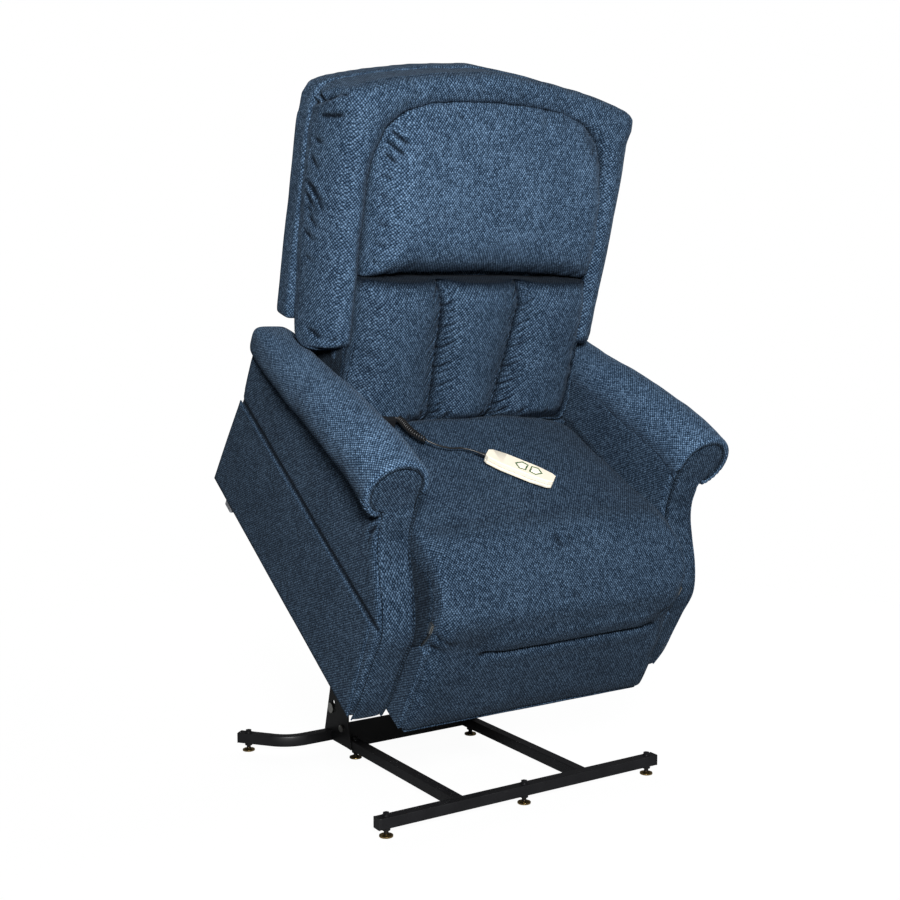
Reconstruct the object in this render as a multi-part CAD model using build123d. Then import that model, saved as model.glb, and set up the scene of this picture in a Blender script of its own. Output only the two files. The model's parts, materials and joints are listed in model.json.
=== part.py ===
from build123d import *
import os
from math import sin, cos, radians, tan, hypot, acos, degrees

# Lift recliner chair. Millimetres. X across the chair, -Y to the front, +Z up.
# Origin: on the floor, under the middle of the base's front bar.
# The chair itself is drawn in its own frame (X, u to the rear, w up), whose
# origin is at the front lower corner of the side panels, then put in the
# raised position, tilted forward on its lift linkage.

os.makedirs("parts", exist_ok=True)

# ---- driving dimensions ----
LIFT_TILT = 32.4          # forward tilt of the raised chair, degrees
LIFT_Y, LIFT_Z = 51.0, 248.0
BACK_LEAN = 18.0          # backrest lean from the chair's own vertical, degrees
BACK_U, BACK_W = 521.0, 392.0
TUBE = 25.0               # square base tube
TUBE_WALL = 2.0
TUBE_Z = 20.0             # underside of the base tubes
FRONT_HALF = 377.0        # half length of the front bar
RAIL_X = 169.0
REAR_Y = 582.0
REAR_TIP_X, REAR_TIP_Y = 380.0, 684.0
REAR_BEND_X = 296.0
FOOT_FRONT_X, FOOT_RAIL_Y = 356.5, 473.0
FOOT_TIP = (366.0, 667.0)
SIDE_IN, SIDE_OUT = 335.0, 418.0
SEAT_HALF = 322.0
PAD_HALF = 320.0
ROLL_X = 400.0
# arm roll: (u, w, radius, X) of its centre, from the scroll to the rear end
ROLL = [(120, 519, 70, 400), (228, 517, 69, 400), (303, 508, 68, 399), (379, 497, 66, 398), (458, 484, 63, 397), (535, 467, 61, 395), (632, 451, 57, 393), (740, 433, 47, 390), (786, 423, 40, 388)]
BOLSTER_T = 112.0        # depth of the padded border behind the back plane
SHELL_T = 167.0          # rear face of the covered back
A1 = (455.3, 235.3)       # upper link pivot on the tower (Y, Z)
A2 = (565.9, 105.0)       # lower link pivot on the tower
B1 = (200.2, 125.3)       # upper link pivot on the chair (u, w)
B2 = (219.1, 47.6)        # lower link pivot on the chair
PIN_R = 8.0
RUN = 0.06                # running clearance on radius
ACT_P = (450.0, 62.0)     # actuator's fixed pivot (Y, Z)
ACT_Q = (207.8, 116.8)    # actuator's rod end on the chair (u, w)
FOOT_O = (-29.0, 285.0)   # legrest pivot (u, w)
FOOT_S = (149.0, 272.0)   # legrest crank pivot on the seat frame
FOOT_Q = (14.0, 96.0)     # legrest coupler pivot on the legrest
FOOT_M = (192.0, 83.0)    # crank to coupler pivot
BACK_PIVOT = (655.0, 385.0)
HAND_X, HAND_U, HAND_W = 10.5, 258.0, 419.6   # handset centre and underside
HAND_ANGLE = -46.3
HAND_L, HAND_B, HAND_T = 160.0, 48.0, 20.0
CORD_D, COIL_D = 4.0, 13.0

CH = Location((0, LIFT_Y, LIFT_Z), (LIFT_TILT, 0, 0))
BK = CH * Location((0, BACK_U, BACK_W), (-BACK_LEAN, 0, 0))


def box(x0, x1, y0, y1, z0, z1):
    return Pos((x0 + x1) / 2, (y0 + y1) / 2, (z0 + z1) / 2) * Box(abs(x1 - x0), abs(y1 - y0), abs(z1 - z0))


def prism(points, x0, x1):
    lo, hi = min(x0, x1), max(x0, x1)
    face = make_face(Polyline(*[(lo, y, z) for y, z in points], close=True))
    return extrude(face, amount=hi - lo, dir=(1, 0, 0))


def slab(points, y0, y1):
    face = make_face(Polyline(*[(x, y0, z) for x, z in points], close=True))
    return extrude(face, amount=y1 - y0, dir=(0, 1, 0))


def rod_x(y, z, x0, x1, r):
    return Pos((x0 + x1) / 2, y, z) * Rot(0, 90, 0) * Cylinder(r, abs(x1 - x0))


def rod_z(x, y, z0, z1, r):
    return Pos(x, y, (z0 + z1) / 2) * Cylinder(r, abs(z1 - z0))


def bar_yz(p, q, x0, x1, half):
    dy, dz = q[0] - p[0], q[1] - p[1]
    n = hypot(dy, dz)
    ny, nz = -dz / n * half, dy / n * half
    body = prism([(p[0] + ny, p[1] + nz), (q[0] + ny, q[1] + nz), (q[0] - ny, q[1] - nz), (p[0] - ny, p[1] - nz)], x0, x1)
    return body + rod_x(p[0], p[1], x0, x1, half) + rod_x(q[0], q[1], x0, x1, half)


def mirror_x(s):
    return s.mirror(Plane.YZ)


def soft(s, r):
    for k in (r, r * 0.7, r * 0.4, r * 0.2):
        try:
            f = fillet(s.edges(), k)
            if f.is_valid and f.volume > 0.5 * s.volume:
                return f
        except Exception:
            pass
    return s


def save(name, *shapes):
    solids = [b for a in shapes for b in a.solids()]
    export_step(Compound(children=solids) if len(solids) > 1 else solids[0], f"parts/{name}.step")


def lifted(u, w):
    c, s = cos(radians(LIFT_TILT)), sin(radians(LIFT_TILT))
    return (LIFT_Y + c * u - s * w, LIFT_Z + s * u + c * w)


B1W, B2W, QW = lifted(*B1), lifted(*B2), lifted(*ACT_Q)

# ================= base =================
z0, z1 = TUBE_Z, TUBE_Z + TUBE
h = TUBE / 2
save("base_front_bar", box(-FRONT_HALF, FRONT_HALF, -h, h, z0, z1) - box(-FRONT_HALF, FRONT_HALF, -h + TUBE_WALL, h - TUBE_WALL, z0 + TUBE_WALL, z1 - TUBE_WALL))
rear_path = FilletPolyline((-REAR_TIP_X, REAR_TIP_Y, z0 + h), (-REAR_BEND_X, REAR_Y, z0 + h), (REAR_BEND_X, REAR_Y, z0 + h), (REAR_TIP_X, REAR_TIP_Y, z0 + h), radius=90)
sec = Plane(origin=rear_path @ 0, z_dir=rear_path % 0, x_dir=(0, 0, 1))
rear_outer = sweep(sec * Rectangle(TUBE, TUBE), path=rear_path)
rear_inner = sweep(sec * Rectangle(TUBE - 2 * TUBE_WALL, TUBE - 2 * TUBE_WALL), path=rear_path)
save("base_rear_bar", rear_outer - rear_inner)
rails, towers = [], []
for sx in (-1, 1):
    a, b = sx * RAIL_X - h, sx * RAIL_X + h
    rail = box(a, b, h, REAR_Y - h, z0, z1) - box(a + TUBE_WALL, b - TUBE_WALL, h, REAR_Y - h, z0 + TUBE_WALL, z1 - TUBE_WALL)
    rails.append(rail)
    x_in, x_out = sx * (RAIL_X + h), sx * (RAIL_X + h + 4)
    tower = prism([(468, 22), (607, 30), (575, 149), (568, 190), (520, 262), (480, 276), (440, 268), (425, 245), (425, 215), (452, 160), (482, 108), (482, 92)], x_in, x_out)
    tower -= box(-400, 400, REAR_Y - h - 0.05, REAR_Y + h + 0.05, z0 - 0.05, z1 + 0.05)
    for (py, pz) in (A1, A2):
        tower -= rod_x(py, pz, x_in - sx * 2, x_out + sx * 2, PIN_R + 0.04)
    tower -= rod_x(556, 122, x_in - sx * 2, x_out + sx * 2, 5.5)
    tower -= rod_x(540, 200, x_in - sx * 2, x_out + sx * 2, 6.05)
    tower -= rod_x(512, 66, x_in - sx * 2, x_out + sx * 2, 5.05)
    towers.append(tower)
save("base_side_rails", *rails)
save("lift_towers", *towers)
cross = box(-RAIL_X - h, RAIL_X + h, 488, 492, z1, 86) + box(-RAIL_X + h, RAIL_X - h, 488, 492, z0 + 2, z1)
save("tower_cross_plate", cross)
brace = rod_x(540, 200, -RAIL_X - h, RAIL_X + h, 12)
save("tower_brace_tube", brace - rod_x(540, 200, -200, 200, 10))
bolts = []
for sx in (-1, 1):
    x_in, x_out = sx * (RAIL_X + h), sx * (RAIL_X + h + 4)
    bolts += [rod_x(512, 66, x_in - sx * 8, x_out, 5), rod_x(512, 66, x_out, x_out + sx * 5, 9)]
    bolts += [rod_x(540, 200, x_in, x_out, 6), rod_x(540, 200, x_out, x_out + sx * 5, 10)]
bolt_solids = [bolts[0] + bolts[1], bolts[2] + bolts[3], bolts[4] + bolts[5], bolts[6] + bolts[7]]
pins = []
for sx in (-1, 1):
    x_out = sx * (RAIL_X + h + 4)
    pins.append(rod_x(A1[0], A1[1], sx * 151, x_out, PIN_R) + rod_x(A1[0], A1[1], x_out, x_out + sx * 4, 13) + rod_x(A1[0], A1[1], sx * 151, sx * 155, 12))
    pins.append(rod_x(A2[0], A2[1], sx * 160, x_out, PIN_R) + rod_x(A2[0], A2[1], x_out, x_out + sx * 4, 13) + rod_x(A2[0], A2[1], sx * 159, sx * 163, 12))
save("tower_pins_and_bolts", *pins, *bolt_solids)
# end caps of the front and rear bars
tip = Plane(origin=rear_path @ 1, z_dir=rear_path % 1, x_dir=(0, 0, 1))
tip0 = Plane(origin=rear_path @ 0, z_dir=-(rear_path % 0), x_dir=(0, 0, 1))
caps = [box(sx * FRONT_HALF, sx * (FRONT_HALF + 3), -h, h, z0, z1) for sx in (-1, 1)]
caps += [extrude(p * Rectangle(TUBE, TUBE), amount=3) for p in (tip, tip0)]
save("tube_end_caps", *caps)
feet = [(-FOOT_FRONT_X, 0), (0, 0), (FOOT_FRONT_X, 0), (-RAIL_X, FOOT_RAIL_Y), (RAIL_X, FOOT_RAIL_Y), (0, REAR_Y), (-FOOT_TIP[0], FOOT_TIP[1]), (FOOT_TIP[0], FOOT_TIP[1])]
save("levelling_foot_discs", *[rod_z(x, y, 0, 3, 15) + Pos(x, y, 4.5) * Cone(12, 7, 3) for x, y in feet])
save("levelling_foot_stems", *[rod_z(x, y, 6, 14, 5) + rod_z(x, y, 14, z0, 9) for x, y in feet], *[rod_z(x, y, z1, z1 + 2, 9) + Pos(x, y, z1 + 4) * extrude(RegularPolygon(7.5, 6), amount=3, both=False) + rod_z(x, y, z1 + 2, z1 + 4.2, 6) for x, y in feet])
ears = []
for sx in (-1, 1):
    ear = prism([(488, 50), (488, 84), (ACT_P[0] - 6, ACT_P[1] + 12), (ACT_P[0] - 13, ACT_P[1]), (ACT_P[0] - 6, ACT_P[1] - 12)], sx * 17, sx * 21)
    ears.append(ear - rod_x(ACT_P[0], ACT_P[1], sx * 10, sx * 30, 6.05))
save("actuator_clevis", *ears)
save("actuator_pin", rod_x(ACT_P[0], ACT_P[1], -21, 21, 6) + rod_x(ACT_P[0], ACT_P[1], -25, -21, 9) + rod_x(ACT_P[0], ACT_P[1], 21, 25, 9))

# ================= lift links =================
mid = (A1[0] + 0.35 * (B1W[0] - A1[0]), A1[1] + 0.35 * (B1W[1] - A1[1]))
ups, los = [], []
for sx in (-1, 1):
    up = bar_yz(A1, B1W, sx * 156, sx * 161, 16)
    up -= rod_x(A1[0], A1[1], sx * 140, sx * 170, PIN_R + RUN)
    up -= rod_x(B1W[0], B1W[1], sx * 140, sx * 170, PIN_R + RUN)
    ups.append(up)
    lo = bar_yz(A2, B2W, sx * 164, sx * 169, 13)
    lo -= rod_x(A2[0], A2[1], sx * 150, sx * 180, PIN_R + RUN)
    lo += rod_x(B2W[0], B2W[1], sx * 164, sx * 171.4, 9)
    los.append(lo)
save("upper_links", *ups)
save("lower_links", *los)
save("upper_link_torsion_tube", rod_x(mid[0], mid[1], -156, 156, 13) - rod_x(mid[0], mid[1], -156, 156, 10.5))

# ================= actuator =================
ad = (QW[0] - ACT_P[0], QW[1] - ACT_P[1])
AL = hypot(*ad)
AANG = degrees(acos(ad[0] / AL))
ACT = Location((0, ACT_P[0], ACT_P[1]), (AANG, 0, 0))     # local +Y runs along the actuator


def rod_y(x, z, y0, y1, r):
    return Pos(x, (y0 + y1) / 2, z) * Rot(90, 0, 0) * Cylinder(r, abs(y1 - y0))


gear = box(-16.5, 16.5, 0, 26, -13, 13) + rod_x(0, 0, -16.5, 16.5, 13) + box(-34, 34, 24, 96, -30, 30)
gear -= rod_x(0, 0, -20, 20, 6 + RUN)
gear -= rod_y(0, 0, 60, 97, 12.0)
save("actuator_gearbox", ACT * gear)
save("actuator_motor", ACT * (rod_y(60, 0, 40, 190, 27) + rod_y(60, 0, 190, 198, 20) - box(-34, 34.0, 24, 96, -30, 30)))
tube = rod_y(0, 0, 96, 345, 20) - rod_y(0, 0, 90, 325, 14) - rod_y(0, 0, 320, 350, 10.08)
save("actuator_outer_tube", ACT * tube)
rod = rod_y(0, 0, 182, AL - 16, 10) + box(-10, 10, AL - 16, AL, -11, 11) + rod_x(AL, 0, -10, 10, 11) + rod_x(AL, 0, -13.6, 13.6, 5)
save("actuator_rod", ACT * rod)

# ================= lift frame and seat frame on the chair =================
plates = []
for sx in (-1, 1):
    plate = prism([(176, 32), (262, 32), (262, 150), (425, 244), (425, 283), (120, 283), (120, 250), (176, 150)], sx * 172, sx * 177)
    plate -= rod_x(229, 222, sx * 160, sx * 190, 12.55)
    plate -= rod_x(395, 264, sx * 160, sx * 190, 12.55)
    for p in (B1, B2):
        plate -= rod_x(p[0], p[1], sx * 160, sx * 190, PIN_R + 0.04)
    plates.append(CH * plate)
save("lift_rails", *plates)
cut_holes = rod_x(229, 222, -400, 400, 10.5)
save("lift_frame_tubes", CH * (rod_x(229, 222, -300, 300, 12.5) - cut_holes), CH * (rod_x(395, 264, -300, 300, 12.5) - rod_x(395, 264, -400, 400, 10.5)))
pins = []
for sx in (-1, 1):
    pins.append(rod_x(B1[0], B1[1], sx * 152, sx * 177, PIN_R) + rod_x(B1[0], B1[1], sx * 152, sx * 155, 12) + rod_x(B1[0], B1[1], sx * 177, sx * 180, 12))
    pins.append(rod_x(B2[0], B2[1], sx * 172, sx * 177, PIN_R) + rod_x(B2[0], B2[1], sx * 177, sx * 180, 12))
save("lift_frame_pins", *[CH * p for p in pins])
lugs = []
for sx in (-1, 1):
    lug = prism([(ACT_Q[0] - 12, ACT_Q[1] - 8), (ACT_Q[0] + 12, ACT_Q[1] - 8), (246, 206), (222, 206)], sx * 14.2, sx * 18.2)
    lug += rod_x(ACT_Q[0], ACT_Q[1], sx * 14.2, sx * 18.2, 13)
    lugs.append(lug - rod_x(229, 222, -40, 40, 12.52))
save("actuator_lugs", *[CH * p for p in lugs])
boards = []
for sx in (-1, 1):
    board = box(sx * 300, sx * 322, 34, 540, 200, 296)
    board -= rod_x(229, 222, -300, 300, 13)
    boards.append(CH * board)
save("seat_side_boards", *boards)
save("seat_cross_boards", CH * box(-299.9, 299.9, 34, 54, 262, 296), CH * box(-299.9, 299.9, 520, 540, 240, 296))
save("seat_webbing", *[CH * box(x - 25, x + 25, 36, 538, 296.2, 299) for x in (-250, -150, -50, 50, 150, 250)])
mounts = [CH * box(sx * 322, sx * 335, u - 25, u + 25, 225, 265) for sx in (-1, 1) for u in (230, 470)]
save("arm_mounting_blocks", *mounts)

# ================= arms and chair body =================
FRONT_CHAIN = [(0, 0), (-8, 54), (-7, 120), (-6, 173), (-2, 255), (32, 308), (67, 345), (97, 380), (113, 411), (120, 450)]
facings, skirts = [], []
for side, sx in (("left", -1), ("right", 1)):
    roll = loft([Pos(sx * x, u, w) * (Plane.XZ * Circle(r)) for u, w, r, x in ROLL], ruled=True)
    recess = rod_y(sx * ROLL_X, ROLL[0][1], ROLL[0][0] - 1, ROLL[0][0] + 13, 58)
    outline = [(a + 10, b) for a, b in FRONT_CHAIN] + [(138, 519)] + [(u, w - 12) for u, w, r, x in ROLL[2:]] + [(775, 263), (807, 1), (800, 0)]
    body = prism(outline, sx * SIDE_IN, sx * SIDE_OUT) - roll
    body = max(body.solids(), key=lambda q: q.volume)
    save(f"arm_panel_{side}", CH * body)
    save(f"arm_roll_{side}", CH * (roll - recess))
    strip = FRONT_CHAIN + [(a + 10, b) for a, b in reversed(FRONT_CHAIN)]
    facing = prism(strip, sx * (SIDE_IN + 6), sx * (SIDE_OUT - 5)) - roll
    facing = max(facing.solids(), key=lambda q: q.volume)
    scroll = rod_y(sx * ROLL_X, ROLL[0][1], ROLL[0][0] + 3, ROLL[0][0] + 12.9, 57.7)
    facings += [CH * facing, CH * scroll]
    skirts.append(CH * prism([(3, 4), (34, 246), (774, 263), (804, 4)], sx * SIDE_OUT, sx * (SIDE_OUT + 4)))
save("arm_front_facings", *facings)
save("side_skirts", *skirts)
save("rear_panel", CH * prism([(795, 6), (806, 6), (783, 385), (772, 385)], -SIDE_IN + 0.2, SIDE_IN - 0.2))
save("rear_glides", *[CH * box(sx * 392, sx * 417, 690, 726, -14, 0) for sx in (-1, 1)])
save("power_box", CH * prism([(722, 60), (791.4, 60), (787.4, 125), (722, 125)], -150, -20))

# ================= seat, legrest =================
seat = prism([(-10, 240), (-58, 240), (-63, 290), (-50, 345), (-25, 382), (16, 412), (86, 425), (205, 420), (326, 414), (480, 405), (480, 300), (-10, 300)], -SEAT_HALF, SEAT_HALF)
for sx in (-1, 1):
    seat -= slab([(sx * 190, 460), (sx * 190, 428), (sx * 345, 392), (sx * 345, 460)], -100, 520)
notch = box(-238, -200, 452, 481, 384, 420)
save("seat_cushion", CH * (seat - notch))
foot = prism([(-10.2, 222), (-62, 222), (-70, 150), (-73, 60), (-72, 10), (-62, 4), (-10.2, 4)], -PAD_HALF, PAD_HALF)
save("legrest_pad", CH * foot)
save("legrest_board", CH * box(-312, 312, -10, 2, 8, 222))
brk = []
for sx in (-1, 1):
    p = prism([(2, 60), (24, 60), (24, 150), (6, 214), (-8, 262), (FOOT_O[0] + 10, FOOT_O[1] + 10), (FOOT_O[0] - 10, FOOT_O[1] + 10), (FOOT_O[0] - 11, FOOT_O[1] - 12), (-26, 214), (-8, 150), (2, 120)], sx * 323.5, sx * 326.5)
    p -= rod_x(FOOT_O[0], FOOT_O[1], sx * 300, sx * 340, 6 + RUN)
    p += box(sx * 300, sx * 326.5, 2, 5, 60, 118)
    brk.append(p)
save("legrest_brackets", *[CH * p for p in brk])
hinge = []
for sx in (-1, 1):
    p = prism([(FOOT_O[0] - 11, FOOT_O[1] - 11), (FOOT_O[0] - 11, FOOT_O[1] + 11), (60, 296), (90, 296), (90, 240), (60, 240)], sx * 328.5, sx * 331.5)
    p += rod_x(FOOT_O[0], FOOT_O[1], sx * 322.6, sx * 331.5, 6) + box(sx * 322, sx * 331.5, 60, 90, 244, 290)
    hinge.append(p)
save("legrest_hinge_plates", *[CH * p for p in hinge])
cranks, couplers, crank_pins = [], [], []
for sx in (-1, 1):
    c = bar_yz(FOOT_S, FOOT_M, sx * 284, sx * 288, 9)
    c -= rod_x(FOOT_S[0], FOOT_S[1], sx * 280, sx * 299, 5 + RUN)
    c += rod_x(FOOT_M[0], FOOT_M[1], sx * 279.4, sx * 288, 6)
    cranks.append(c)
    k = bar_yz(FOOT_Q, FOOT_M, sx * 275, sx * 279, 8)
    k -= rod_x(FOOT_Q[0], FOOT_Q[1], sx * 270, sx * 290, 5 + RUN)
    couplers.append(k)
    crank_pins.append(rod_x(FOOT_S[0], FOOT_S[1], sx * 282, sx * 300, 5) + rod_x(FOOT_S[0], FOOT_S[1], sx * 280, sx * 283.4, 8))
save("legrest_cranks", *[CH * p for p in cranks])
save("legrest_couplers", *[CH * p for p in couplers])
save("legrest_crank_pins", *[CH * p for p in crank_pins])
qb = []
for sx in (-1, 1):
    b = box(sx * 280.2, sx * 283.2, 2, 20, 84, 108) - rod_x(FOOT_Q[0], FOOT_Q[1], sx * 270, sx * 290, 5.04)
    qb.append(b)
    qb.append(rod_x(FOOT_Q[0], FOOT_Q[1], sx * 272, sx * 283.2, 5) + rod_x(FOOT_Q[0], FOOT_Q[1], sx * 271, sx * 274.4, 7.5))
save("legrest_coupler_mounts", *[CH * p for p in qb])

# ================= backrest =================
SHELL = [(330, 204), (396, 204), (400, 290), (402, 420), (402, 620), (393, 680), (380, 704), (354, 716), (262, 738), (140, 758), (0, 769)]
BOLSTER = [(386, 140), (390, 200), (395, 280), (399, 380), (401, 480), (402, 560), (401, 630), (393, 680), (376, 706), (352, 718), (262, 740), (140, 760), (0, 771)]
WING_T = [(-20, 146), (70, 156), (90, 168), (105, 180), (115, 188), (130, 200), (175, 202), (175, 60), (-20, 60)]


def outline_x(half, inner):
    return inner + half + [(-x, z) for x, z in reversed(half[:-1] if half[-1][0] == 0 else half)] + [(-x, z) for x, z in reversed(inner)]


bol = slab(outline_x(BOLSTER, [(297, 140)]), -8, BOLSTER_T)
bol -= box(-297, 297, -10, BOLSTER_T + 6, 100, 692)
bol -= box(-318, 318, 60, BOLSTER_T + 6, 100, 704)
for sx in (-1, 1):
    bol -= prism(WING_T, sx * 290, sx * 440)
save("back_bolster", BK * bol)
save("head_pillow", BK * slab([(-286, 310), (286, 310), (293, 340), (292, 580), (275, 640), (236, 686), (-236, 686), (-275, 640), (-292, 580), (-293, 340)], -44, 61))
save("lumbar_cushion", BK * slab([(-290, -18), (290, -18), (308, 6), (312, 60), (312, 112), (292, 134), (292, 305), (-292, 305), (-292, 134), (-312, 112), (-312, 60), (-308, 6)], -30, 61))
frame = [box(sx * 290, sx * 315, 64, BOLSTER_T - 2, -60, 702) for sx in (-1, 1)]
frame += [box(-290, 290, 64, BOLSTER_T - 2, a, b) for a, b in ((-60, -20), (300, 340), (662, 702))]
save("back_frame", *[BK * p for p in frame])
shell_out = slab(outline_x(SHELL, [(312, -8), (312, 82), (325, 82), (325, 204)]), BOLSTER_T + 2, SHELL_T)
inner_half = [(303, 2), (303, 94), (313, 94), (313, 218), (384, 218), (388, 300), (390, 420), (390, 612), (381, 670), (368, 690), (346, 702), (258, 723), (136, 744), (0, 755)]
shell_in = slab(outline_x(inner_half, []), 0, SHELL_T - 14)
save("back_outer_shell", BK * (shell_out - shell_in))
bb, bp = [], []
PT, PH = 0.0, 0.0
du, dw = BACK_PIVOT[0] - BACK_U, BACK_PIVOT[1] - BACK_W
sb, cb = sin(radians(BACK_LEAN)), cos(radians(BACK_LEAN))
PH, PT = du * sb + dw * cb, du * cb - dw * sb
for sx in (-1, 1):
    p = prism([(66, -50), (66, 60), (100, 60), (PT + 12, PH + 12), (PT + 12, PH - 12), (100, -50)], sx * 317, sx * 320)
    p += box(sx * 315, sx * 320, 66, 100, -40, 50)
    p -= rod_x(PT, PH, sx * 300, sx * 330, 7 + RUN)
    bb.append(BK * p)
    q = prism([(BACK_PIVOT[0] - 25, 250), (BACK_PIVOT[0] + 25, 250), (BACK_PIVOT[0] + 14, 398), (BACK_PIVOT[0] - 14, 398)], sx * 331, sx * 334.8)
    q += rod_x(BACK_PIVOT[0], BACK_PIVOT[1], sx * 316, sx * 334.8, 7)
    bp.append(CH * q)
save("back_hinge_arms", *bb)
save("back_hinge_plates", *bp)

# ================= handset and cord =================
HS = CH * Location((HAND_X, HAND_U, HAND_W), (-2.8, 0, 0)) * Rot(0, 0, HAND_ANGLE)
half_l, half_b = HAND_L / 2, HAND_B / 2
hs_outline = [(-half_l, 12), (-half_l + 8, 19), (-40, half_b), (35, half_b), (half_l - 10, 19), (half_l, 13)]
hs_outline = hs_outline + [(x, -y) for x, y in reversed(hs_outline)]


def plan(points, za, zb):
    face = make_face(Polyline(*[(x, y, za) for x, y in points], close=True))
    return extrude(face, amount=zb - za, dir=(0, 0, 1))


BTN = [(3.0, "up"), (34.0, "down")]
back_half = plan(hs_outline, 0, 9)
front_half = plan(hs_outline, 9.05, HAND_T)
front_half -= plan([(x * 0.93, y * 0.86) for x, y in hs_outline], 9.0, HAND_T - 3)
diamond = [(-13, 0), (-3, 9.5), (9, 7.5), (9, -7.5), (-3, -9.5)]
for off, nm in BTN:
    pts = [(off + (x if nm == "up" else -x), y) for x, y in diamond]
    big = [(off + (x if nm == "up" else -x) * 1.05, y * 1.06) for x, y in diamond]
    front_half -= plan(big, HAND_T - 4, HAND_T + 1)
    small = [(off + (x if nm == "up" else -x) * 0.97, y * 0.96) for x, y in diamond]
    btn = plan(small, HAND_T - 5, HAND_T + 1.2)
    save(f"button_{nm}", HS * btn)
back_half_shell = back_half - plan([(x * 0.93, y * 0.86) for x, y in hs_outline], 3, 9.1)
save("handset_back_shell", HS * back_half_shell)
save("handset_front_shell", HS * front_half)
relief = Pos(-half_l - 9, 0, 9) * Rot(0, 90, 0) * Cylinder(4.5, 18)
save("cord_strain_relief", HS * relief)
relief_end = (HS * Location((-half_l - 18, 0, 9))).position


def chair_pt(x, u, w):
    y, z = lifted(u, w)
    return Vector(x, y, z)


save("cord_grommet", CH * (box(-237.8, -200.2, 462, 480, 384.2, 425)))
# coil: a fat tube along the run from the grommet; then the plain lead to the handset
coil_pts = [chair_pt(-219, 462, 414.5), chair_pt(-219, 445, 414.5), chair_pt(-211, 427, 416.5), chair_pt(-196, 411, 418.5), chair_pt(-180, 396, 420.5), chair_pt(-167, 378, 422.0)]
lead_pts = [coil_pts[-1], coil_pts[-1] + (coil_pts[-1] - coil_pts[-2]).normalized() * 16, chair_pt(-141, 354, 421.5), chair_pt(-118, 357, 421.0), chair_pt(-94, 357, 421.6), relief_end + (relief_end - (HS * Location((0, 0, 9))).position).normalized() * 18, relief_end]


def cord(points, dia, label):
    radii = []
    for a, b, c in zip(points, points[1:], points[2:]):
        u, v = b - a, c - b
        turn = u.get_angle(v)
        radii.append(0.45 * min(u.length, v.length) / tan(radians(turn) / 2))
    path = FilletPolyline(*points, radius=radii) if len(points) > 2 else Polyline(*points)
    s = sweep(Plane(origin=path @ 0, z_dir=path % 0) * Circle(dia / 2), path=path)
    print(label, "length", round(path.length, 1), "volume share", round(s.volume / (3.14159265 * dia * dia / 4 * path.length), 4), "radii", [round(r, 1) for r in radii])
    return s


save("cord_coil", cord(coil_pts, COIL_D, "coil"))
save("cord_lead", cord(lead_pts, CORD_D, "lead"))
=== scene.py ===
import bpy
import json
import math
import numpy as np
from mathutils import Vector, Matrix


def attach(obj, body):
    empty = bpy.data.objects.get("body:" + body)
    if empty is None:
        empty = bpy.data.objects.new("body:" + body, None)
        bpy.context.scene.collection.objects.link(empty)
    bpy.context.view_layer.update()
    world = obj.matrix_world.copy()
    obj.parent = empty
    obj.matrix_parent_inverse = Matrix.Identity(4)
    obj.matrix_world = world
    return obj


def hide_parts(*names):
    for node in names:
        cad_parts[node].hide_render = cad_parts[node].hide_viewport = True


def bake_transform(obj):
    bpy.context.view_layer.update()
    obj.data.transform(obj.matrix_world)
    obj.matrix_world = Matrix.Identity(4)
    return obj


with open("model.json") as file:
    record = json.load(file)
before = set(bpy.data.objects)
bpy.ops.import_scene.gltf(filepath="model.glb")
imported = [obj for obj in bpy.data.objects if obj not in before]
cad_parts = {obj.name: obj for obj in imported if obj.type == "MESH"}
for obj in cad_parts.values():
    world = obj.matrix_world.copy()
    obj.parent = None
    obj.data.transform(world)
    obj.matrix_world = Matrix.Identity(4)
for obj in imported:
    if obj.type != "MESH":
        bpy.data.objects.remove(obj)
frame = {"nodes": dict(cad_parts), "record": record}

scene = bpy.context.scene
NODES = frame["nodes"]
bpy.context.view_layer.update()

# ------------------------------------------------------------------ frames of reference
TILT, LEAN = math.radians(32.4), math.radians(18.0)
CHAIR_O = np.array([0.0, 0.051, 0.248])
R_CH = np.array([[1, 0, 0], [0, math.cos(TILT), -math.sin(TILT)], [0, math.sin(TILT), math.cos(TILT)]])
R_BK = np.array([[1, 0, 0], [0, math.cos(LEAN), math.sin(LEAN)], [0, -math.sin(LEAN), math.cos(LEAN)]])
BACK_O = np.array([0.0, 521.0, 392.0])


def chair(p):
    """chair frame (X, u to the rear, w up), millimetres, to the row frame in metres"""
    return np.asarray(p, float) * 0.001 @ R_CH.T + CHAIR_O


def to_chair(p):
    return (np.asarray(p, float) - CHAIR_O) @ R_CH * 1000.0


def back(p):
    """backrest frame (X, t to the rear, h up), millimetres, to the row frame in metres"""
    return chair(np.asarray(p, float) @ R_BK.T + BACK_O)


def to_back(p):
    return (to_chair(p) - BACK_O) @ R_BK


FR = {"chair": (chair, to_chair, R_CH), "back": (back, to_back, R_CH @ R_BK)}

# ------------------------------------------------------------------ camera
cam_data = bpy.data.cameras.new("camera")
cam_data.lens, cam_data.sensor_width = 55.87, 36.0
cam_data.clip_start, cam_data.clip_end = 0.05, 60
cam = bpy.data.objects.new("camera", cam_data)
scene.collection.objects.link(cam)
cam.location = (-1.770, -2.451, 1.137)
cam.rotation_euler = (math.radians(90 - 6.46), 0, math.radians(-32.69))
scene.camera = cam


# ------------------------------------------------------------------ small tools
def new_mesh(name, verts, faces, smooth=True):
    me = bpy.data.meshes.new(name)
    me.from_pydata(np.asarray(verts, float).tolist(), [], [tuple(int(i) for i in f) for f in faces])
    me.update()
    if smooth:
        me.polygons.foreach_set("use_smooth", np.ones(len(me.polygons), bool))
    ob = bpy.data.objects.new(name, me)
    scene.collection.objects.link(ob)
    return ob


def get_co(me):
    a = np.empty(len(me.vertices) * 3, np.float32)
    me.vertices.foreach_get("co", a)
    return a.reshape(-1, 3).astype(float)


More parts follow.
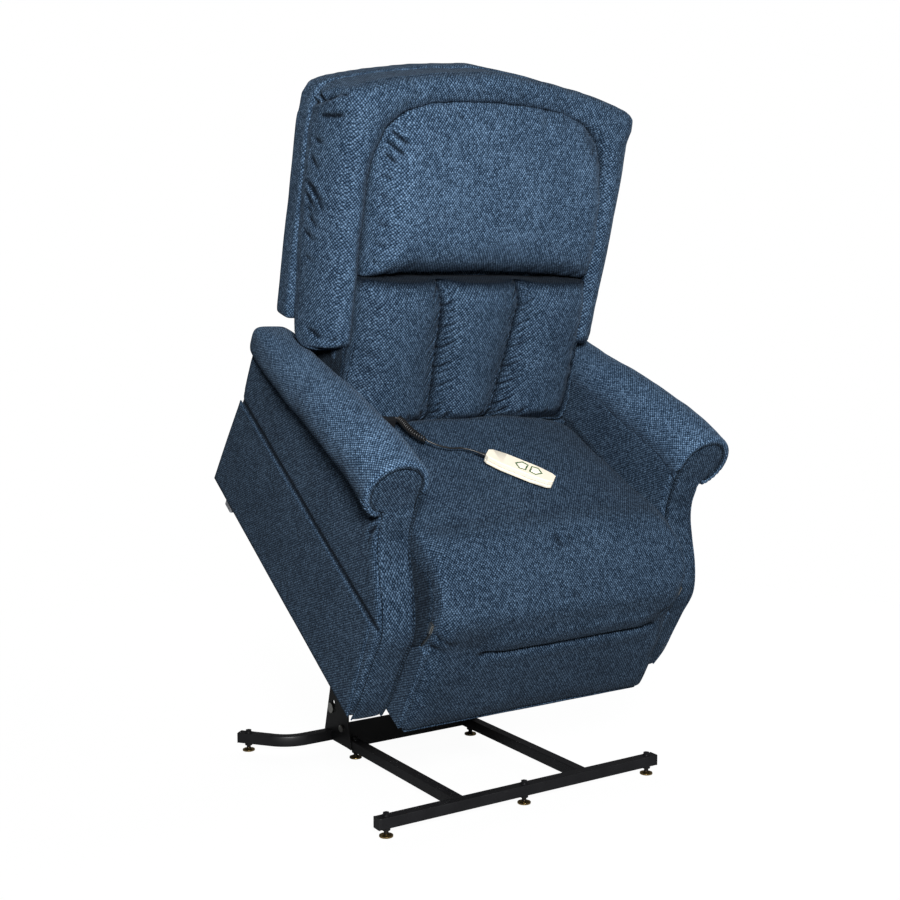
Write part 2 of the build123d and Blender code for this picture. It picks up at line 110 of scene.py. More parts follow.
def set_co(me, co):
    me.vertices.foreach_set("co", np.asarray(co, np.float32).ravel())
    me.update()


def get_no(me):
    a = np.empty(len(me.vertices) * 3, np.float32)
    me.vertices.foreach_get("normal", a)
    return a.reshape(-1, 3).astype(float)


def bake(ob):
    dg = bpy.context.evaluated_depsgraph_get()
    me = bpy.data.meshes.new_from_object(ob.evaluated_get(dg))
    ob.modifiers.clear()
    old = ob.data
    ob.data = me
    bpy.data.meshes.remove(old)
    return ob


def smooth_mod(ob, n, f=0.5):
    m = ob.modifiers.new("smooth", "SMOOTH")
    m.factor, m.iterations = f, n
    bake(ob)


def subdivide(ob, n=1):
    m = ob.modifiers.new("sub", "SUBSURF")
    m.levels = m.render_levels = n
    bake(ob)


def voxel(ob, size_mm):
    m = ob.modifiers.new("remesh", "REMESH")
    m.mode, m.voxel_size, m.adaptivity = "VOXEL", size_mm * 0.001, 0.0
    bake(ob)


def inflate(ob, pressure, cap_mm, mask=None, tension=12.0):
    """blows the closed cover up over its foam; nothing moves further than cap_mm"""
    start = get_co(ob.data)
    m = ob.modifiers.new("cloth", "CLOTH")
    s = m.settings
    s.quality, s.mass, s.time_scale = 3, 0.3, 1.0
    s.tension_stiffness = s.compression_stiffness = tension
    s.bending_stiffness = 0.6
    s.use_pressure, s.uniform_pressure_force = True, pressure
    s.effector_weights.gravity = 0.0
    m.collision_settings.use_collision = False
    m.collision_settings.use_self_collision = False
    m.point_cache.frame_start, m.point_cache.frame_end = 1, 20
    for f in range(1, 21):
        scene.frame_set(f)
    bake(ob)
    scene.frame_set(1)
    d = get_co(ob.data) - start
    n = np.linalg.norm(d, axis=1)
    cap = cap_mm * 0.001
    k = np.where(n > 1e-9, cap * np.tanh(n / cap) / np.maximum(n, 1e-9), 1.0)
    d *= k[:, None]
    if mask is not None:
        d *= mask(start * 1000.0)
    set_co(ob.data, start + d)


def hashn(i, seed=0):
    x = np.sin(np.asarray(i, float) * 127.1 + seed * 311.7) * 43758.5453
    return x - np.floor(x)


def vnoise(p, scale, seed=0):
    """smooth value noise of points p (n, k), about -1..1"""
    q = np.asarray(p, float) / scale
    i = np.floor(q)
    f = q - i
    f = f * f * (3 - 2 * f)
    k = q.shape[1]
    out = np.zeros(len(q))
    for c in range(2 ** k):
        w = np.ones(len(q))
        key = np.full(len(q), seed * 17.3)
        for a in range(k):
            b = (c >> a) & 1
            w *= f[:, a] if b else 1 - f[:, a]
            key = key + (i[:, a] + b) * (12.9898, 78.233, 37.719)[a]
        h = np.sin(key) * 43758.5453
        out += w * (h - np.floor(h))
    return out * 2 - 1


def sstep(a, b, x):
    t = np.clip((np.asarray(x, float) - a) / (b - a), 0, 1)
    return t * t * (3 - 2 * t)          # falls when a > b


def seg(P, a, b, wid, depth, lip=0.3, end=0.6):
    """a sewn or folded crease from a to b on 2-D points P: a valley with a soft lip each side"""
    a, b = np.array(a, float), np.array(b, float)
    ab = b - a
    L2 = ab @ ab
    t = ((P - a) @ ab) / L2
    tc = np.clip(t, 0, 1)
    d = np.linalg.norm(P - (a + tc[:, None] * ab), axis=1)
    fade = np.sin(np.pi * np.clip(tc, 0.02, 0.98)) ** end
    return fade * (-depth * np.exp(-(d / wid) ** 2) + lip * depth * np.exp(-((d - 2.1 * wid) / (1.1 * wid)) ** 2))


def dist_to(Q, chain, closed=False):
    """distance of 2-D points to a chain of segments"""
    C = np.array(chain, float)
    best = np.full(len(Q), 1e9)
    n = len(C)
    for i in range(n if closed else n - 1):
        a, b = C[i], C[(i + 1) % n]
        ab = b - a
        t = np.clip(((Q - a) @ ab) / (ab @ ab), 0, 1)
        best = np.minimum(best, np.linalg.norm(Q - a - t[:, None] * ab, axis=1))
    return best


def rounding(d, R):
    """0 beyond R from an edge, 1 at the edge, with an elliptical section"""
    k = 1 - np.clip(d / R, 0, 1)
    return 1 - np.sqrt(np.clip(1 - k * k, 0, 1))


def both(*es):
    return np.sum([np.clip(e, 0, None) ** 3 for e in es], axis=0) ** (1 / 3)


def mirrored(half):
    return half + [(-x, h) for x, h in reversed(half) if x != 0]


def prism_mesh(outline, axis, a, b):
    """closed prism of a 2-D outline along one axis, in a local frame"""
    n = len(outline)
    V = []
    for v in (a, b):
        for p, q in outline:
            c = [p, q]
            c.insert(axis, v)
            V.append(c)
    F = [tuple(range(n)), tuple(range(2 * n - 1, n - 1, -1))]
    F += [(i, (i + 1) % n, n + (i + 1) % n, n + i) for i in range(n)]
    return np.array(V, float), F


def fix_normals(ob):
    import bmesh
    bm = bmesh.new()
    bm.from_mesh(ob.data)
    bmesh.ops.recalc_face_normals(bm, faces=bm.faces)
    bm.to_mesh(ob.data)
    bm.free()
    ob.data.update()


def local_node(name, node, fr):
    """a copy of a CAD node's mesh in a local frame, metres, welded"""
    import bmesh
    src = NODES[node].data
    me = src.copy()
    me.materials.clear()
    ob = bpy.data.objects.new(name, me)
    scene.collection.objects.link(ob)
    set_co(me, FR[fr][1](get_co(src)) * 0.001)
    bm = bmesh.new()
    bm.from_mesh(me)
    bmesh.ops.remove_doubles(bm, verts=bm.verts, dist=1e-5)
    bm.to_mesh(me)
    bm.free()
    return ob


def poly_info(me):
    n = len(me.polygons)
    tot = np.empty(n, np.int32)
    me.polygons.foreach_get("loop_total", tot)
    nor = np.empty(n * 3, np.float32)
    me.polygons.foreach_get("normal", nor)
    vi = np.empty(len(me.loops), np.int32)
    me.loops.foreach_get("vertex_index", vi)
    return np.repeat(np.arange(n), tot), nor.reshape(-1, 3).astype(float), vi


def weave(ob, fr="chair", along=None):
    """a UV layer in metres for the weave: flat maps along the piece's own axes, or one wrapped along a path"""
    me = ob.data
    f_of, nor, vi = poly_info(me)
    P = FR[fr][1](get_co(me)) * 0.001
    N = np.abs(nor @ FR[fr][2])[f_of]
    Q = P[vi]
    ax = N.argmax(axis=1)
    uv = np.where((ax == 0)[:, None], Q[:, [1, 2]], np.where((ax == 1)[:, None], Q[:, [0, 2]], Q[:, [0, 1]]))
    if along is not None:
        s = along(P * 1000.0) * 0.001
        side = ax == 0
        w = np.stack([Q[:, 0], s[vi]], axis=1)
        uv = np.where(side[:, None], uv, w)
    layer = me.uv_layers.get("weave") or me.uv_layers.new(name="weave")
    layer.data.foreach_set("uv", uv.astype(np.float32).ravel())


def path_length_of(path):
    path = np.array(path, float)
    acc = np.concatenate([[0], np.cumsum(np.linalg.norm(np.diff(path, axis=0), axis=1))])

    def f(P):
        q = P[:, 1:3]
        best = np.full(len(q), 1e18)
        s = np.zeros(len(q))
        for i in range(len(path) - 1):
            a, b = path[i], path[i + 1]
            ab = b - a
            t = np.clip(((q - a) @ ab) / (ab @ ab), 0, 1)
            d = ((q - a - t[:, None] * ab) ** 2).sum(1)
            m = d < best
            best = np.where(m, d, best)
            s = np.where(m, acc[i] + t * math.sqrt(ab @ ab), s)
        return s

    return f


def painted_crease_shade(ob, dark=None, iters=26, full=2.4):
    """how deep each point lies in a fold or seam, 0..1, kept on the mesh as a painted-shade mask, so that the fabric's
    colour goes darker there as if in shadow
    """
    me = ob.data
    n = len(me.vertices)
    e = np.empty(len(me.edges) * 2, np.int32)
    me.edges.foreach_get("vertices", e)
    e = e.reshape(-1, 2)
    deg = np.maximum(np.bincount(e.ravel(), minlength=n), 1)
    P = get_co(me) * 1000
    N = get_no(me)
    S = P.copy()
    for it in range(iters):
        A = np.stack([np.bincount(e[:, 0], S[e[:, 1], k], n) + np.bincount(e[:, 1], S[e[:, 0], k], n) for k in range(3)], 1)
        S = 0.5 * S + 0.5 * A / deg[:, None]
        if it == 6:
            near = ((S - P) * N).sum(1)
    c = np.clip(((S - P) * N).sum(1) / full, 0, 1) * 0.7 + np.clip(near / 0.8, 0, 1) * 0.6
    if dark is not None:
        c = np.maximum(c, dark)
    a = me.attributes.new("painted_crease_shade", "FLOAT", "POINT")
    a.data.foreach_set("value", np.clip(c, 0, 1).astype(np.float32))


def finish_soft(ob, fr, mat, body, nodes, along=None, dark=None):
    """local metres to the row frame, weave map, material, and its place in the table"""
    me = ob.data
    painted_crease_shade(ob, dark)
    set_co(me, FR[fr][0](get_co(me) * 1000.0))
    me.polygons.foreach_set("use_smooth", np.ones(len(me.polygons), bool))
    weave(ob, fr, along)
    me.materials.clear()
    me.materials.append(mat)
    if body:
        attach(ob, body)
    if nodes:
        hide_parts(*nodes)
    return ob


def grid_faces(nu, nv, wrap_u=False, wrap_v=False, off=0):
    F = []
    for i in range(nu if wrap_u else nu - 1):
        for j in range(nv if wrap_v else nv - 1):
            a, b = i, (i + 1) % nu
            c, d = j, (j + 1) % nv
            F.append((off + a * nv + c, off + b * nv + c, off + b * nv + d, off + a * nv + d))
    return F


def tube_mesh(pts, r, seg_n=10):
    """closed tube along points (n, 3)"""
    pts = np.asarray(pts, float)
    n = len(pts)
    T = np.gradient(pts, axis=0)
    T /= np.linalg.norm(T, axis=1)[:, None]
    up = np.array([0.0, 0.0, 1.0]) if abs(T[0][2]) < 0.9 else np.array([1.0, 0, 0])
    N = np.cross(T[0], up)
    N /= np.linalg.norm(N)
    V, fr = [], []
    for i in range(n):
        if i:
            N = N - (N @ T[i]) * T[i]
            N /= np.linalg.norm(N)
        B = np.cross(T[i], N)
        fr.append((N.copy(), B.copy()))
        rr = r[i] if hasattr(r, "__len__") else r
        for k in range(seg_n):
            a = 2 * math.pi * k / seg_n
            V.append(pts[i] + rr * (math.cos(a) * N + math.sin(a) * B))
    F = grid_faces(n, seg_n, wrap_v=True)
    F += [tuple(range(seg_n))[::-1], tuple(range((n - 1) * seg_n, n * seg_n))]
    return np.array(V), F, fr


# ------------------------------------------------------------------ materials
def nt_new(name):
    m = bpy.data.materials.new(name)
    m.use_nodes = True
    nt = m.node_tree
    nt.nodes.clear()
    out = nt.nodes.new("ShaderNodeOutputMaterial")
    b = nt.nodes.new("ShaderNodeBsdfPrincipled")
    nt.links.new(b.outputs[0], out.inputs[0])
    return m, nt, b


def node(nt, kind, **kw):
    n = nt.nodes.new(kind)
    for k, v in kw.items():
        setattr(n, k, v)
    return n


def math_n(nt, op, a, b=None, c=None, clamp=False):
    n = node(nt, "ShaderNodeMath", operation=op, use_clamp=clamp)
    for i, v in enumerate((a, b, c)):
        if v is None:
            continue
        if isinstance(v, (int, float)):
            n.inputs[i].default_value = v
        else:
            nt.links.new(v, n.inputs[i])
    return n.outputs[0]


def mixc(nt, f, a, b, kind="MIX"):
    n = node(nt, "ShaderNodeMix", data_type="RGBA", blend_type=kind)
    for i, v in ((0, f), (6, a), (7, b)):
        if isinstance(v, (int, float)):
            n.inputs[i].default_value = v
        elif isinstance(v, tuple):
            n.inputs[i].default_value = (*v, 1)
        else:
            nt.links.new(v, n.inputs[i])
    return n.outputs[2]


def upholstery(name, tone=1.0, cell=0.0045):
    """heathered chenille: small nubs on a diagonal grid, dark ground thread, lighter surface thread"""
    m, nt, b = nt_new(name)
    uv = node(nt, "ShaderNodeUVMap", uv_map="weave")
    mp = node(nt, "ShaderNodeMapping")
    mp.inputs["Rotation"].default_value = (0, 0, math.radians(45))
    mp.inputs["Scale"].default_value = (1 / cell, 1 / (cell * 1.25), 1)
    nt.links.new(uv.outputs[0], mp.inputs[0])
    # uneven thread spacing
    wob = node(nt, "ShaderNodeTexNoise", noise_dimensions="2D")
    wob.inputs["Scale"].default_value = 0.5
    wob.inputs["Detail"].default_value = 2
    nt.links.new(mp.outputs[0], wob.inputs["Vector"])
    wadd = node(nt, "ShaderNodeMix", data_type="RGBA", blend_type="LINEAR_LIGHT")
    wadd.inputs[0].default_value = 0.12
    nt.links.new(mp.outputs[0], wadd.inputs[6])
    nt.links.new(wob.outputs["Color"], wadd.inputs[7])
    vo = node(nt, "ShaderNodeTexVoronoi", voronoi_dimensions="2D", feature="F1")
    vo.inputs["Scale"].default_value = 1.0
    vo.inputs["Randomness"].default_value = 0.18
    nt.links.new(wadd.outputs[2], vo.inputs["Vector"])
    nub = math_n(nt, "SUBTRACT", 1.0, math_n(nt, "MULTIPLY", vo.outputs["Distance"], 1.5), clamp=True)
    sepc = node(nt, "ShaderNodeSeparateColor")
    nt.links.new(vo.outputs["Color"], sepc.inputs[0])
    # slub threads, longer than a nub
    sl = node(nt, "ShaderNodeTexNoise", noise_dimensions="2D")
    mp2 = node(nt, "ShaderNodeMapping")
    mp2.inputs["Rotation"].default_value = (0, 0, math.radians(42))
    mp2.inputs["Scale"].default_value = (150, 520, 1)
    nt.links.new(uv.outputs[0], mp2.inputs[0])
    nt.links.new(mp2.outputs[0], sl.inputs["Vector"])
    sl.inputs["Scale"].default_value = 1.0
    sl.inputs["Detail"].default_value = 3
    # fibres
    fi = node(nt, "ShaderNodeTexNoise", noise_dimensions="2D")
    nt.links.new(uv.outputs[0], fi.inputs["Vector"])
    fi.inputs["Scale"].default_value = 1400
    fi.inputs["Detail"].default_value = 2
    # broad nap, brushed one way and the other
    tc = node(nt, "ShaderNodeTexCoord")
    nap = node(nt, "ShaderNodeTexNoise")
    nt.links.new(tc.outputs["Object"], nap.inputs["Vector"])
    nap.inputs["Scale"].default_value = 11
    nap.inputs["Detail"].default_value = 4
    nap.inputs["Roughness"].default_value = 0.5
    # thread brightness
    t = math_n(nt, "MULTIPLY", math_n(nt, "SUBTRACT", nub, 0.45), 0.66)
    t = math_n(nt, "ADD", t, math_n(nt, "MULTIPLY", math_n(nt, "SUBTRACT", sepc.outputs[0], 0.5), 0.24))
    t = math_n(nt, "ADD", t, math_n(nt, "MULTIPLY", math_n(nt, "SUBTRACT", sl.outputs[0], 0.5), 0.60))
    t = math_n(nt, "ADD", t, math_n(nt, "MULTIPLY", math_n(nt, "SUBTRACT", fi.outputs[0], 0.5), 0.45))
    t = math_n(nt, "ADD", t, math_n(nt, "MULTIPLY", math_n(nt, "SUBTRACT", nap.outputs[0], 0.5), 0.14))
    t = math_n(nt, "ADD", t, 0.5, clamp=True)
    ramp = node(nt, "ShaderNodeValToRGB")
    e = ramp.color_ramp.elements
    e[0].position, e[0].color = 0.0, (0.003 * tone, 0.006 * tone, 0.012 * tone, 1)
    e[1].position, e[1].color = 1.0, (0.215 * tone, 0.320 * tone, 0.440 * tone, 1)
    for pos, col in ((0.25, (0.008, 0.018, 0.034)), (0.50, (0.040, 0.068, 0.108)), (0.75, (0.105, 0.162, 0.238))):
        k = e.new(pos)
        k.color = (*[c * tone for c in col], 1)
    nt.links.new(t, ramp.inputs[0])
    # painted shade: the crease-shade mask kept on the mesh darkens the colour toward near black in folds, seams and
    # gaps
    cav = node(nt, "ShaderNodeAttribute", attribute_name="painted_crease_shade")
    deep = mixc(nt, math_n(nt, "MULTIPLY", cav.outputs["Fac"], 0.86, clamp=True), ramp.outputs[0], (0.002, 0.004, 0.008))
    nt.links.new(deep, b.inputs["Base Color"])
    r = math_n(nt, "ADD", math_n(nt, "MULTIPLY", nub, -0.10), 0.95)
    nt.links.new(r, b.inputs["Roughness"])
    b.inputs["Sheen Weight"].default_value = 0.04
    b.inputs["Sheen Roughness"].default_value = 0.5
    b.inputs["Sheen Tint"].default_value = (0.70, 0.80, 0.92, 1)
    b.inputs["Specular IOR Level"].default_value = 0.05
    h = math_n(nt, "ADD", math_n(nt, "MULTIPLY", nub, 0.8), math_n(nt, "MULTIPLY", fi.outputs[0], 0.18))
    h = math_n(nt, "ADD", h, math_n(nt, "MULTIPLY", sl.outputs[0], 0.25))
    bump = node(nt, "ShaderNodeBump")
    bump.inputs["Strength"].default_value = 0.7
    bump.inputs["Distance"].default_value = 0.0012
    nt.links.new(h, bump.inputs["Height"])
    nt.links.new(bump.outputs[0], b.inputs["Normal"])
    return m


def solid_mat(name, dark, light, rough, rough_var, metallic=0.0, scale=60.0, bump=0.2, bump_scale=600.0, bump_dist=0.0003,
              spec=0.5, coat=0.0, stretch=(1, 1, 1), wear=None):
    """moulded, painted or plated surface: colour variation, fine texture, uneven roughness"""
    m, nt, b = nt_new(name)
    tc = node(nt, "ShaderNodeTexCoord")
    mp = node(nt, "ShaderNodeMapping")
    mp.inputs["Scale"].default_value = stretch
    nt.links.new(tc.outputs["Object"], mp.inputs[0])
    n1 = node(nt, "ShaderNodeTexNoise")
    n1.inputs["Scale"].default_value = scale
    n1.inputs["Detail"].default_value = 6
    nt.links.new(mp.outputs[0], n1.inputs["Vector"])
    col = mixc(nt, n1.outputs[0], dark, light)
    if wear is not None:
        n3 = node(nt, "ShaderNodeTexNoise")
        n3.inputs["Scale"].default_value = scale * 3.1
        n3.inputs["Detail"].default_value = 9
        n3.inputs["Roughness"].default_value = 0.7
        nt.links.new(mp.outputs[0], n3.inputs["Vector"])
        f = math_n(nt, "MULTIPLY", math_n(nt, "SUBTRACT", n3.outputs[0], 0.60), 6.0, clamp=True)
        col = mixc(nt, f, col, wear)
    nt.links.new(col, b.inputs["Base Color"])
    r = math_n(nt, "ADD", math_n(nt, "MULTIPLY", math_n(nt, "SUBTRACT", n1.outputs[0], 0.5), rough_var), rough, clamp=True)
    nt.links.new(r, b.inputs["Roughness"])
    b.inputs["Metallic"].default_value = metallic
    b.inputs["Specular IOR Level"].default_value = spec
    b.inputs["Coat Weight"].default_value = coat
    n2 = node(nt, "ShaderNodeTexNoise")
    n2.inputs["Scale"].default_value = bump_scale
    n2.inputs["Detail"].default_value = 3
    nt.links.new(mp.outputs[0], n2.inputs["Vector"])
    bp = node(nt, "ShaderNodeBump")
    bp.inputs["Strength"].default_value = bump
    bp.inputs["Distance"].default_value = bump_dist
    nt.links.new(n2.outputs[0], bp.inputs["Height"])
    nt.links.new(bp.outputs[0], b.inputs["Normal"])
    return m


FABRIC = upholstery("navy_chenille")
# painted shade: a darker copy of the fabric for the legrest's hem and sides and the back's foot, which face down and
# away from the light
FABRIC_LOW = upholstery("navy_chenille_lower_painted_shade", 0.80)
# painted shade: a much darker copy of the fabric for pieces in gaps and under overhangs, so that they read as shadow
FABRIC_SHADE = upholstery("navy_chenille_painted_shade", 0.38)
# one fabric; these tones were tuned cover by cover to the look wanted, so part of the difference stands in for light
FABRIC_SEAT = upholstery("navy_chenille_seat", 0.74)
FABRIC_SIDE = upholstery("navy_chenille_side", 0.80)
FABRIC_ROLL = upholstery("navy_chenille_roll", 1.20)
FABRIC_PILLOW = upholstery("navy_chenille_pillow", 1.08)
FABRIC_FRONT = upholstery("navy_chenille_front", 0.72)
FABRIC_LUMBAR = upholstery("navy_chenille_lumbar", 0.88)
M_BLACK = solid_mat("black_powder_coat", (0.006, 0.006, 0.007), (0.014, 0.014, 0.016), 0.42, 0.18, 0.0, 25, 0.35, 900, 0.0002, wear=(0.03, 0.03, 0.032))
M_ZINC = solid_mat("zinc_plate", (0.42, 0.42, 0.40), (0.62, 0.61, 0.57), 0.34, 0.25, 1.0, 90, 0.15, 700)
M_BRASS = solid_mat("brass_foot", (0.42, 0.30, 0.12), (0.66, 0.50, 0.24), 0.30, 0.25, 1.0, 120, 0.15, 800)
M_ALU = solid_mat("aluminium_tube", (0.55, 0.56, 0.57), (0.74, 0.75, 0.76), 0.30, 0.2, 1.0, 40, 0.2, 500, stretch=(1, 0.1, 1))
M_BPLAST = solid_mat("black_plastic", (0.010, 0.010, 0.011), (0.018, 0.018, 0.019), 0.5, 0.15, 0.0, 40, 0.3, 1400, 0.0002)
M_GREY = solid_mat("grey_plastic", (0.22, 0.23, 0.25), (0.30, 0.31, 0.33), 0.5, 0.15, 0.0, 40, 0.3, 1400, 0.0002)
M_CREAM = solid_mat("cream_plastic", (0.78, 0.72, 0.60), (0.84, 0.78, 0.67), 0.36, 0.10, 0.0, 30, 0.12, 1800, 0.00012, spec=0.5)
M_BUTTON = solid_mat("button_cream", (0.80, 0.76, 0.68), (0.86, 0.82, 0.75), 0.42, 0.10, 0.0, 30, 0.12, 1800, 0.00012)
M_GREEN = solid_mat("green_print", (0.045, 0.11, 0.04), (0.08, 0.17, 0.07), 0.5, 0.1, 0.0, 200, 0.1, 900, 0.0001)
M_CORD = solid_mat("cord_rubber", (0.010, 0.010, 0.011), (0.022, 0.021, 0.020), 0.40, 0.2, 0.0, 150, 0.25, 1500, 0.0002, spec=0.6)
M_WEB = solid_mat("webbing_black", (0.012, 0.012, 0.013), (0.05, 0.05, 0.055), 0.85, 0.1, 0.0, 300, 0.6, 700, 0.0006, spec=0.2)


def plywood():
    m, nt, b = nt_new("plywood")
    tc = node(nt, "ShaderNodeTexCoord")
    mp = node(nt, "ShaderNodeMapping")
    mp.inputs["Scale"].default_value = (6, 1.2, 30)
    nt.links.new(tc.outputs["Object"], mp.inputs[0])
    w = node(nt, "ShaderNodeTexNoise")
    w.inputs["Scale"].default_value = 7
    w.inputs["Detail"].default_value = 8
    w.inputs["Distortion"].default_value = 1.2
    nt.links.new(mp.outputs[0], w.inputs["Vector"])
    col = mixc(nt, w.outputs[0], (0.36, 0.22, 0.11), (0.68, 0.50, 0.30))
    nt.links.new(col, b.inputs["Base Color"])
    r = math_n(nt, "ADD", math_n(nt, "MULTIPLY", w.outputs[0], 0.25), 0.5)
    nt.links.new(r, b.inputs["Roughness"])
    bp = node(nt, "ShaderNodeBump")
    bp.inputs["Strength"].default_value = 0.3
    bp.inputs["Distance"].default_value = 0.0005
    nt.links.new(w.outputs[0], bp.inputs["Height"])
    nt.links.new(bp.outputs[0], b.inputs["Normal"])
    return m


M_PLY = plywood()

SLOT_MAT = {"upholstery": FABRIC, "black_steel": M_BLACK, "zinc_steel": M_ZINC, "black_plastic": M_BPLAST, "foot_brass": M_BRASS,
            "tube_aluminium": M_ALU, "plywood": M_PLY, "webbing": M_WEB, "grey_plastic": M_GREY, "cream_plastic": M_CREAM,
            "button_cream": M_BUTTON, "cord_black": M_CORD}
NODE_SLOT = {}
for sl in frame["record"].get("materials", []):
    for nn in sl.get("nodes", []) or []:
        NODE_SLOT[nn] = sl.get("slot")

# ------------------------------------------------------------------ the handset's cord: curly from the seat's grommet, then a plain lead
ROUTE = [(-219, 462, 414.5), (-213, 466, 419.0), (-203, 474, 422.5), (-192, 468, 424.5), (-190, 446, 426.5), (-190, 428, 427.5), (-185, 408, 428.0), (-175, 390, 428.0), (-162, 377, 427.0)]
HAND_O, HAND_TILT, HAND_ANG = np.array([10.5, 258.0, 419.6]), math.radians(-2.8), math.radians(-46.3)
R_HT = np.array([[1, 0, 0], [0, math.cos(HAND_TILT), -math.sin(HAND_TILT)], [0, math.sin(HAND_TILT), math.cos(HAND_TILT)]])
R_HZ = np.array([[math.cos(HAND_ANG), -math.sin(HAND_ANG), 0], [math.sin(HAND_ANG), math.cos(HAND_ANG), 0], [0, 0, 1]])


def hand(p):
    """handset frame to the chair frame, millimetres"""
    return np.asarray(p, float) @ (R_HT @ R_HZ).T + HAND_O


r_end = hand([-98.0, 0, 9])
r_dir = hand([-98.0, 0, 9]) - hand([0.0, 0, 9])
r_dir /= np.linalg.norm(r_dir)
c_dir = np.array(ROUTE[-1], float) - np.array(ROUTE[-2], float)
c_dir /= np.linalg.norm(c_dir)
route = [np.array(p, float) for p in ROUTE] + [np.array(ROUTE[-1]) + 16 * c_dir, np.array([-128, 356, 424.0]), np.array([-112, 352, 423.0]),
                                              np.array([-92, 354, 422.3]), r_end + 18 * r_dir, r_end]
route_w = chair(np.array(route))


def nurbs_curve(name, pts, res):
    cu = bpy.data.curves.new(name, "CURVE")
    cu.dimensions = "3D"
    sp = cu.splines.new("NURBS")
    sp.points.add(len(pts) - 1)
    for p, q in zip(sp.points, pts):
        p.co = (*[float(v) for v in q], 1)
    sp.use_endpoint_u = True
    sp.order_u = 3
    sp.resolution_u = res
    ob = bpy.data.objects.new(name, cu)
    scene.collection.objects.link(ob)
    return ob


tmp = nurbs_curve("route_tmp", route_w, 24)
bpy.context.view_layer.update()
tm = bpy.data.meshes.new_from_object(tmp.evaluated_get(bpy.context.evaluated_depsgraph_get()))
line = get_co(tm)
if np.linalg.norm(line[0] - route_w[0]) > np.linalg.norm(line[-1] - route_w[0]):
    line = line[::-1]
bpy.data.objects.remove(tmp)
acc = np.concatenate([[0], np.cumsum(np.linalg.norm(np.diff(line, axis=0), axis=1))])
LINE_LEN = acc[-1]
COIL_START, COIL_LEN = 0.026, 0.107


def on_line(s):
    return np.stack([np.interp(s, acc, line[:, k]) for k in range(3)], axis=-1)


PITCH, WIRE, COIL_R = 0.0056, 0.0040, 0.0062
turns = int((COIL_LEN - 0.007) / PITCH)
PPT = 14
ns = turns * PPT
ss = COIL_START + 0.004 + np.arange(ns + 1) / PPT * PITCH
P0 = on_line(ss)
T0 = on_line(ss + 0.0004) - on_line(ss - 0.0004)
T0 /= np.linalg.norm(T0, axis=1)[:, None]
N0 = np.zeros_like(T0)
cur = np.cross(T0[0], chair([[0, 0, 1000]])[0] - CHAIR_O)
for i in range(len(T0)):
    cur = cur - (cur @ T0[i]) * T0[i]
    cur /= np.linalg.norm(cur)
    N0[i] = cur
B0 = np.cross(T0, N0)
ph = np.arange(ns + 1) / PPT * 2 * math.pi
rad = COIL_R * sstep(0, 0.8, np.arange(ns + 1) / PPT) * sstep(0, 0.9, (ns - np.arange(ns + 1)) / PPT)
rad = rad * (1 + 0.03 * np.sin(ph * 0.37))
helix = P0 + rad[:, None] * (np.cos(ph)[:, None] * N0 + np.sin(ph)[:, None] * B0)
s_tail = np.linspace(ss[-1] + 0.006, LINE_LEN, 16)
cord_pts = np.concatenate([on_line(np.linspace(0.0, COIL_START, 6)), helix, on_line(s_tail)])
cord = nurbs_curve("handset_cord", cord_pts, 4)
cord.data.bevel_depth = WIRE / 2
cord.data.bevel_resolution = 4
cord.data.use_fill_caps = True
cord.data.materials.append(M_CORD)
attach(cord, "chair")
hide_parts("cord_coil", "cord_lead")

# strain relief: a tapered boot with ribs
boot_pts, boot_r = [], []
for i in range(25):
    x = -80.2 - 17.9 * i / 24
    boot_pts.append(chair(hand([x, 0, 9])))
    boot_r.append((0.0046 - 0.0021 * i / 24) * (0.86 if i % 4 == 3 else 1.0))
V, F, _ = tube_mesh(boot_pts, boot_r, 20)
boot = new_mesh("cord_boot", V, F)
boot.data.materials.append(M_CORD)
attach(boot, "chair")
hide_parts("cord_strain_relief")

# ------------------------------------------------------------------ seat and legrest: one chaise pad over the legrest's hinge
TOP = [(508, 388), (494, 395), (480, 400), (326, 409), (205, 416), (86, 421), (16, 408), (-25, 380), (-48, 345), (-58, 300), (-57, 262), (-50, 232),
       (-54, 205), (-62, 150), (-66, 60), (-67, 14), (-62, 6)]
INNER = [(-13, 6), (-12, 100), (-12, 238), (-10, 302), (508, 302)]
along_pad = path_length_of([(p[0], p[1]) for p in TOP])


def crown_drop(X, u):
    edge = np.interp(u, [-60, -30, 16, 86, 205, 326, 455, 500], [2, 4, 8, 14, 28, 36, 44, 46])
    return edge * np.clip((np.abs(X) - 100) / 232.0, 0, 1) ** 1.9


V, F = prism_mesh(TOP + INNER, 0, -322.0, 322.0)
pad = new_mesh("chaise_pad", V * 0.001, F)
fix_normals(pad)
voxel(pad, 8.0)
smooth_mod(pad, 4)
crisp = get_co(pad.data)
smooth_mod(pad, 10)
kk = sstep(170, 240, get_co(pad.data)[:, 2] * 1000)[:, None]
set_co(pad.data, crisp * (1 - kk) + get_co(pad.data) * kk)
P = get_co(pad.data) * 1000
N = get_no(pad.data)
k = sstep(330, 385, P[:, 2])
P[:, 2] -= crown_drop(P[:, 0], P[:, 1]) * k
set_co(pad.data, P * 0.001)


def pad_mask(Q):
    free = np.clip((Q[:, 2] - 318) / 40, 0, 1)
    frontish = np.clip((-Q[:, 1] - 20) / 20, 0, 1) * np.clip(Q[:, 2] / 60 + 0.2, 0, 1)
    m = np.maximum(free, frontish)
    rear = 1 - np.clip((Q[:, 1] - 440) / 40, 0, 1)
    # the sitting surface keeps its shape under the handset and its cord
    m = m * rear * (1 - sstep(60, 130, Q[:, 1]) * sstep(330, 380, Q[:, 2]))
    return np.stack([m * 0.35, m, m], axis=1)


inflate(pad, 2.4, 7.0, pad_mask)
subdivide(pad, 1)
P = get_co(pad.data) * 1000
N = get_no(pad.data)
X, U, W = P[:, 0], P[:, 1], P[:, 2]
front = sstep(0.0, 0.5, -N[:, 1])
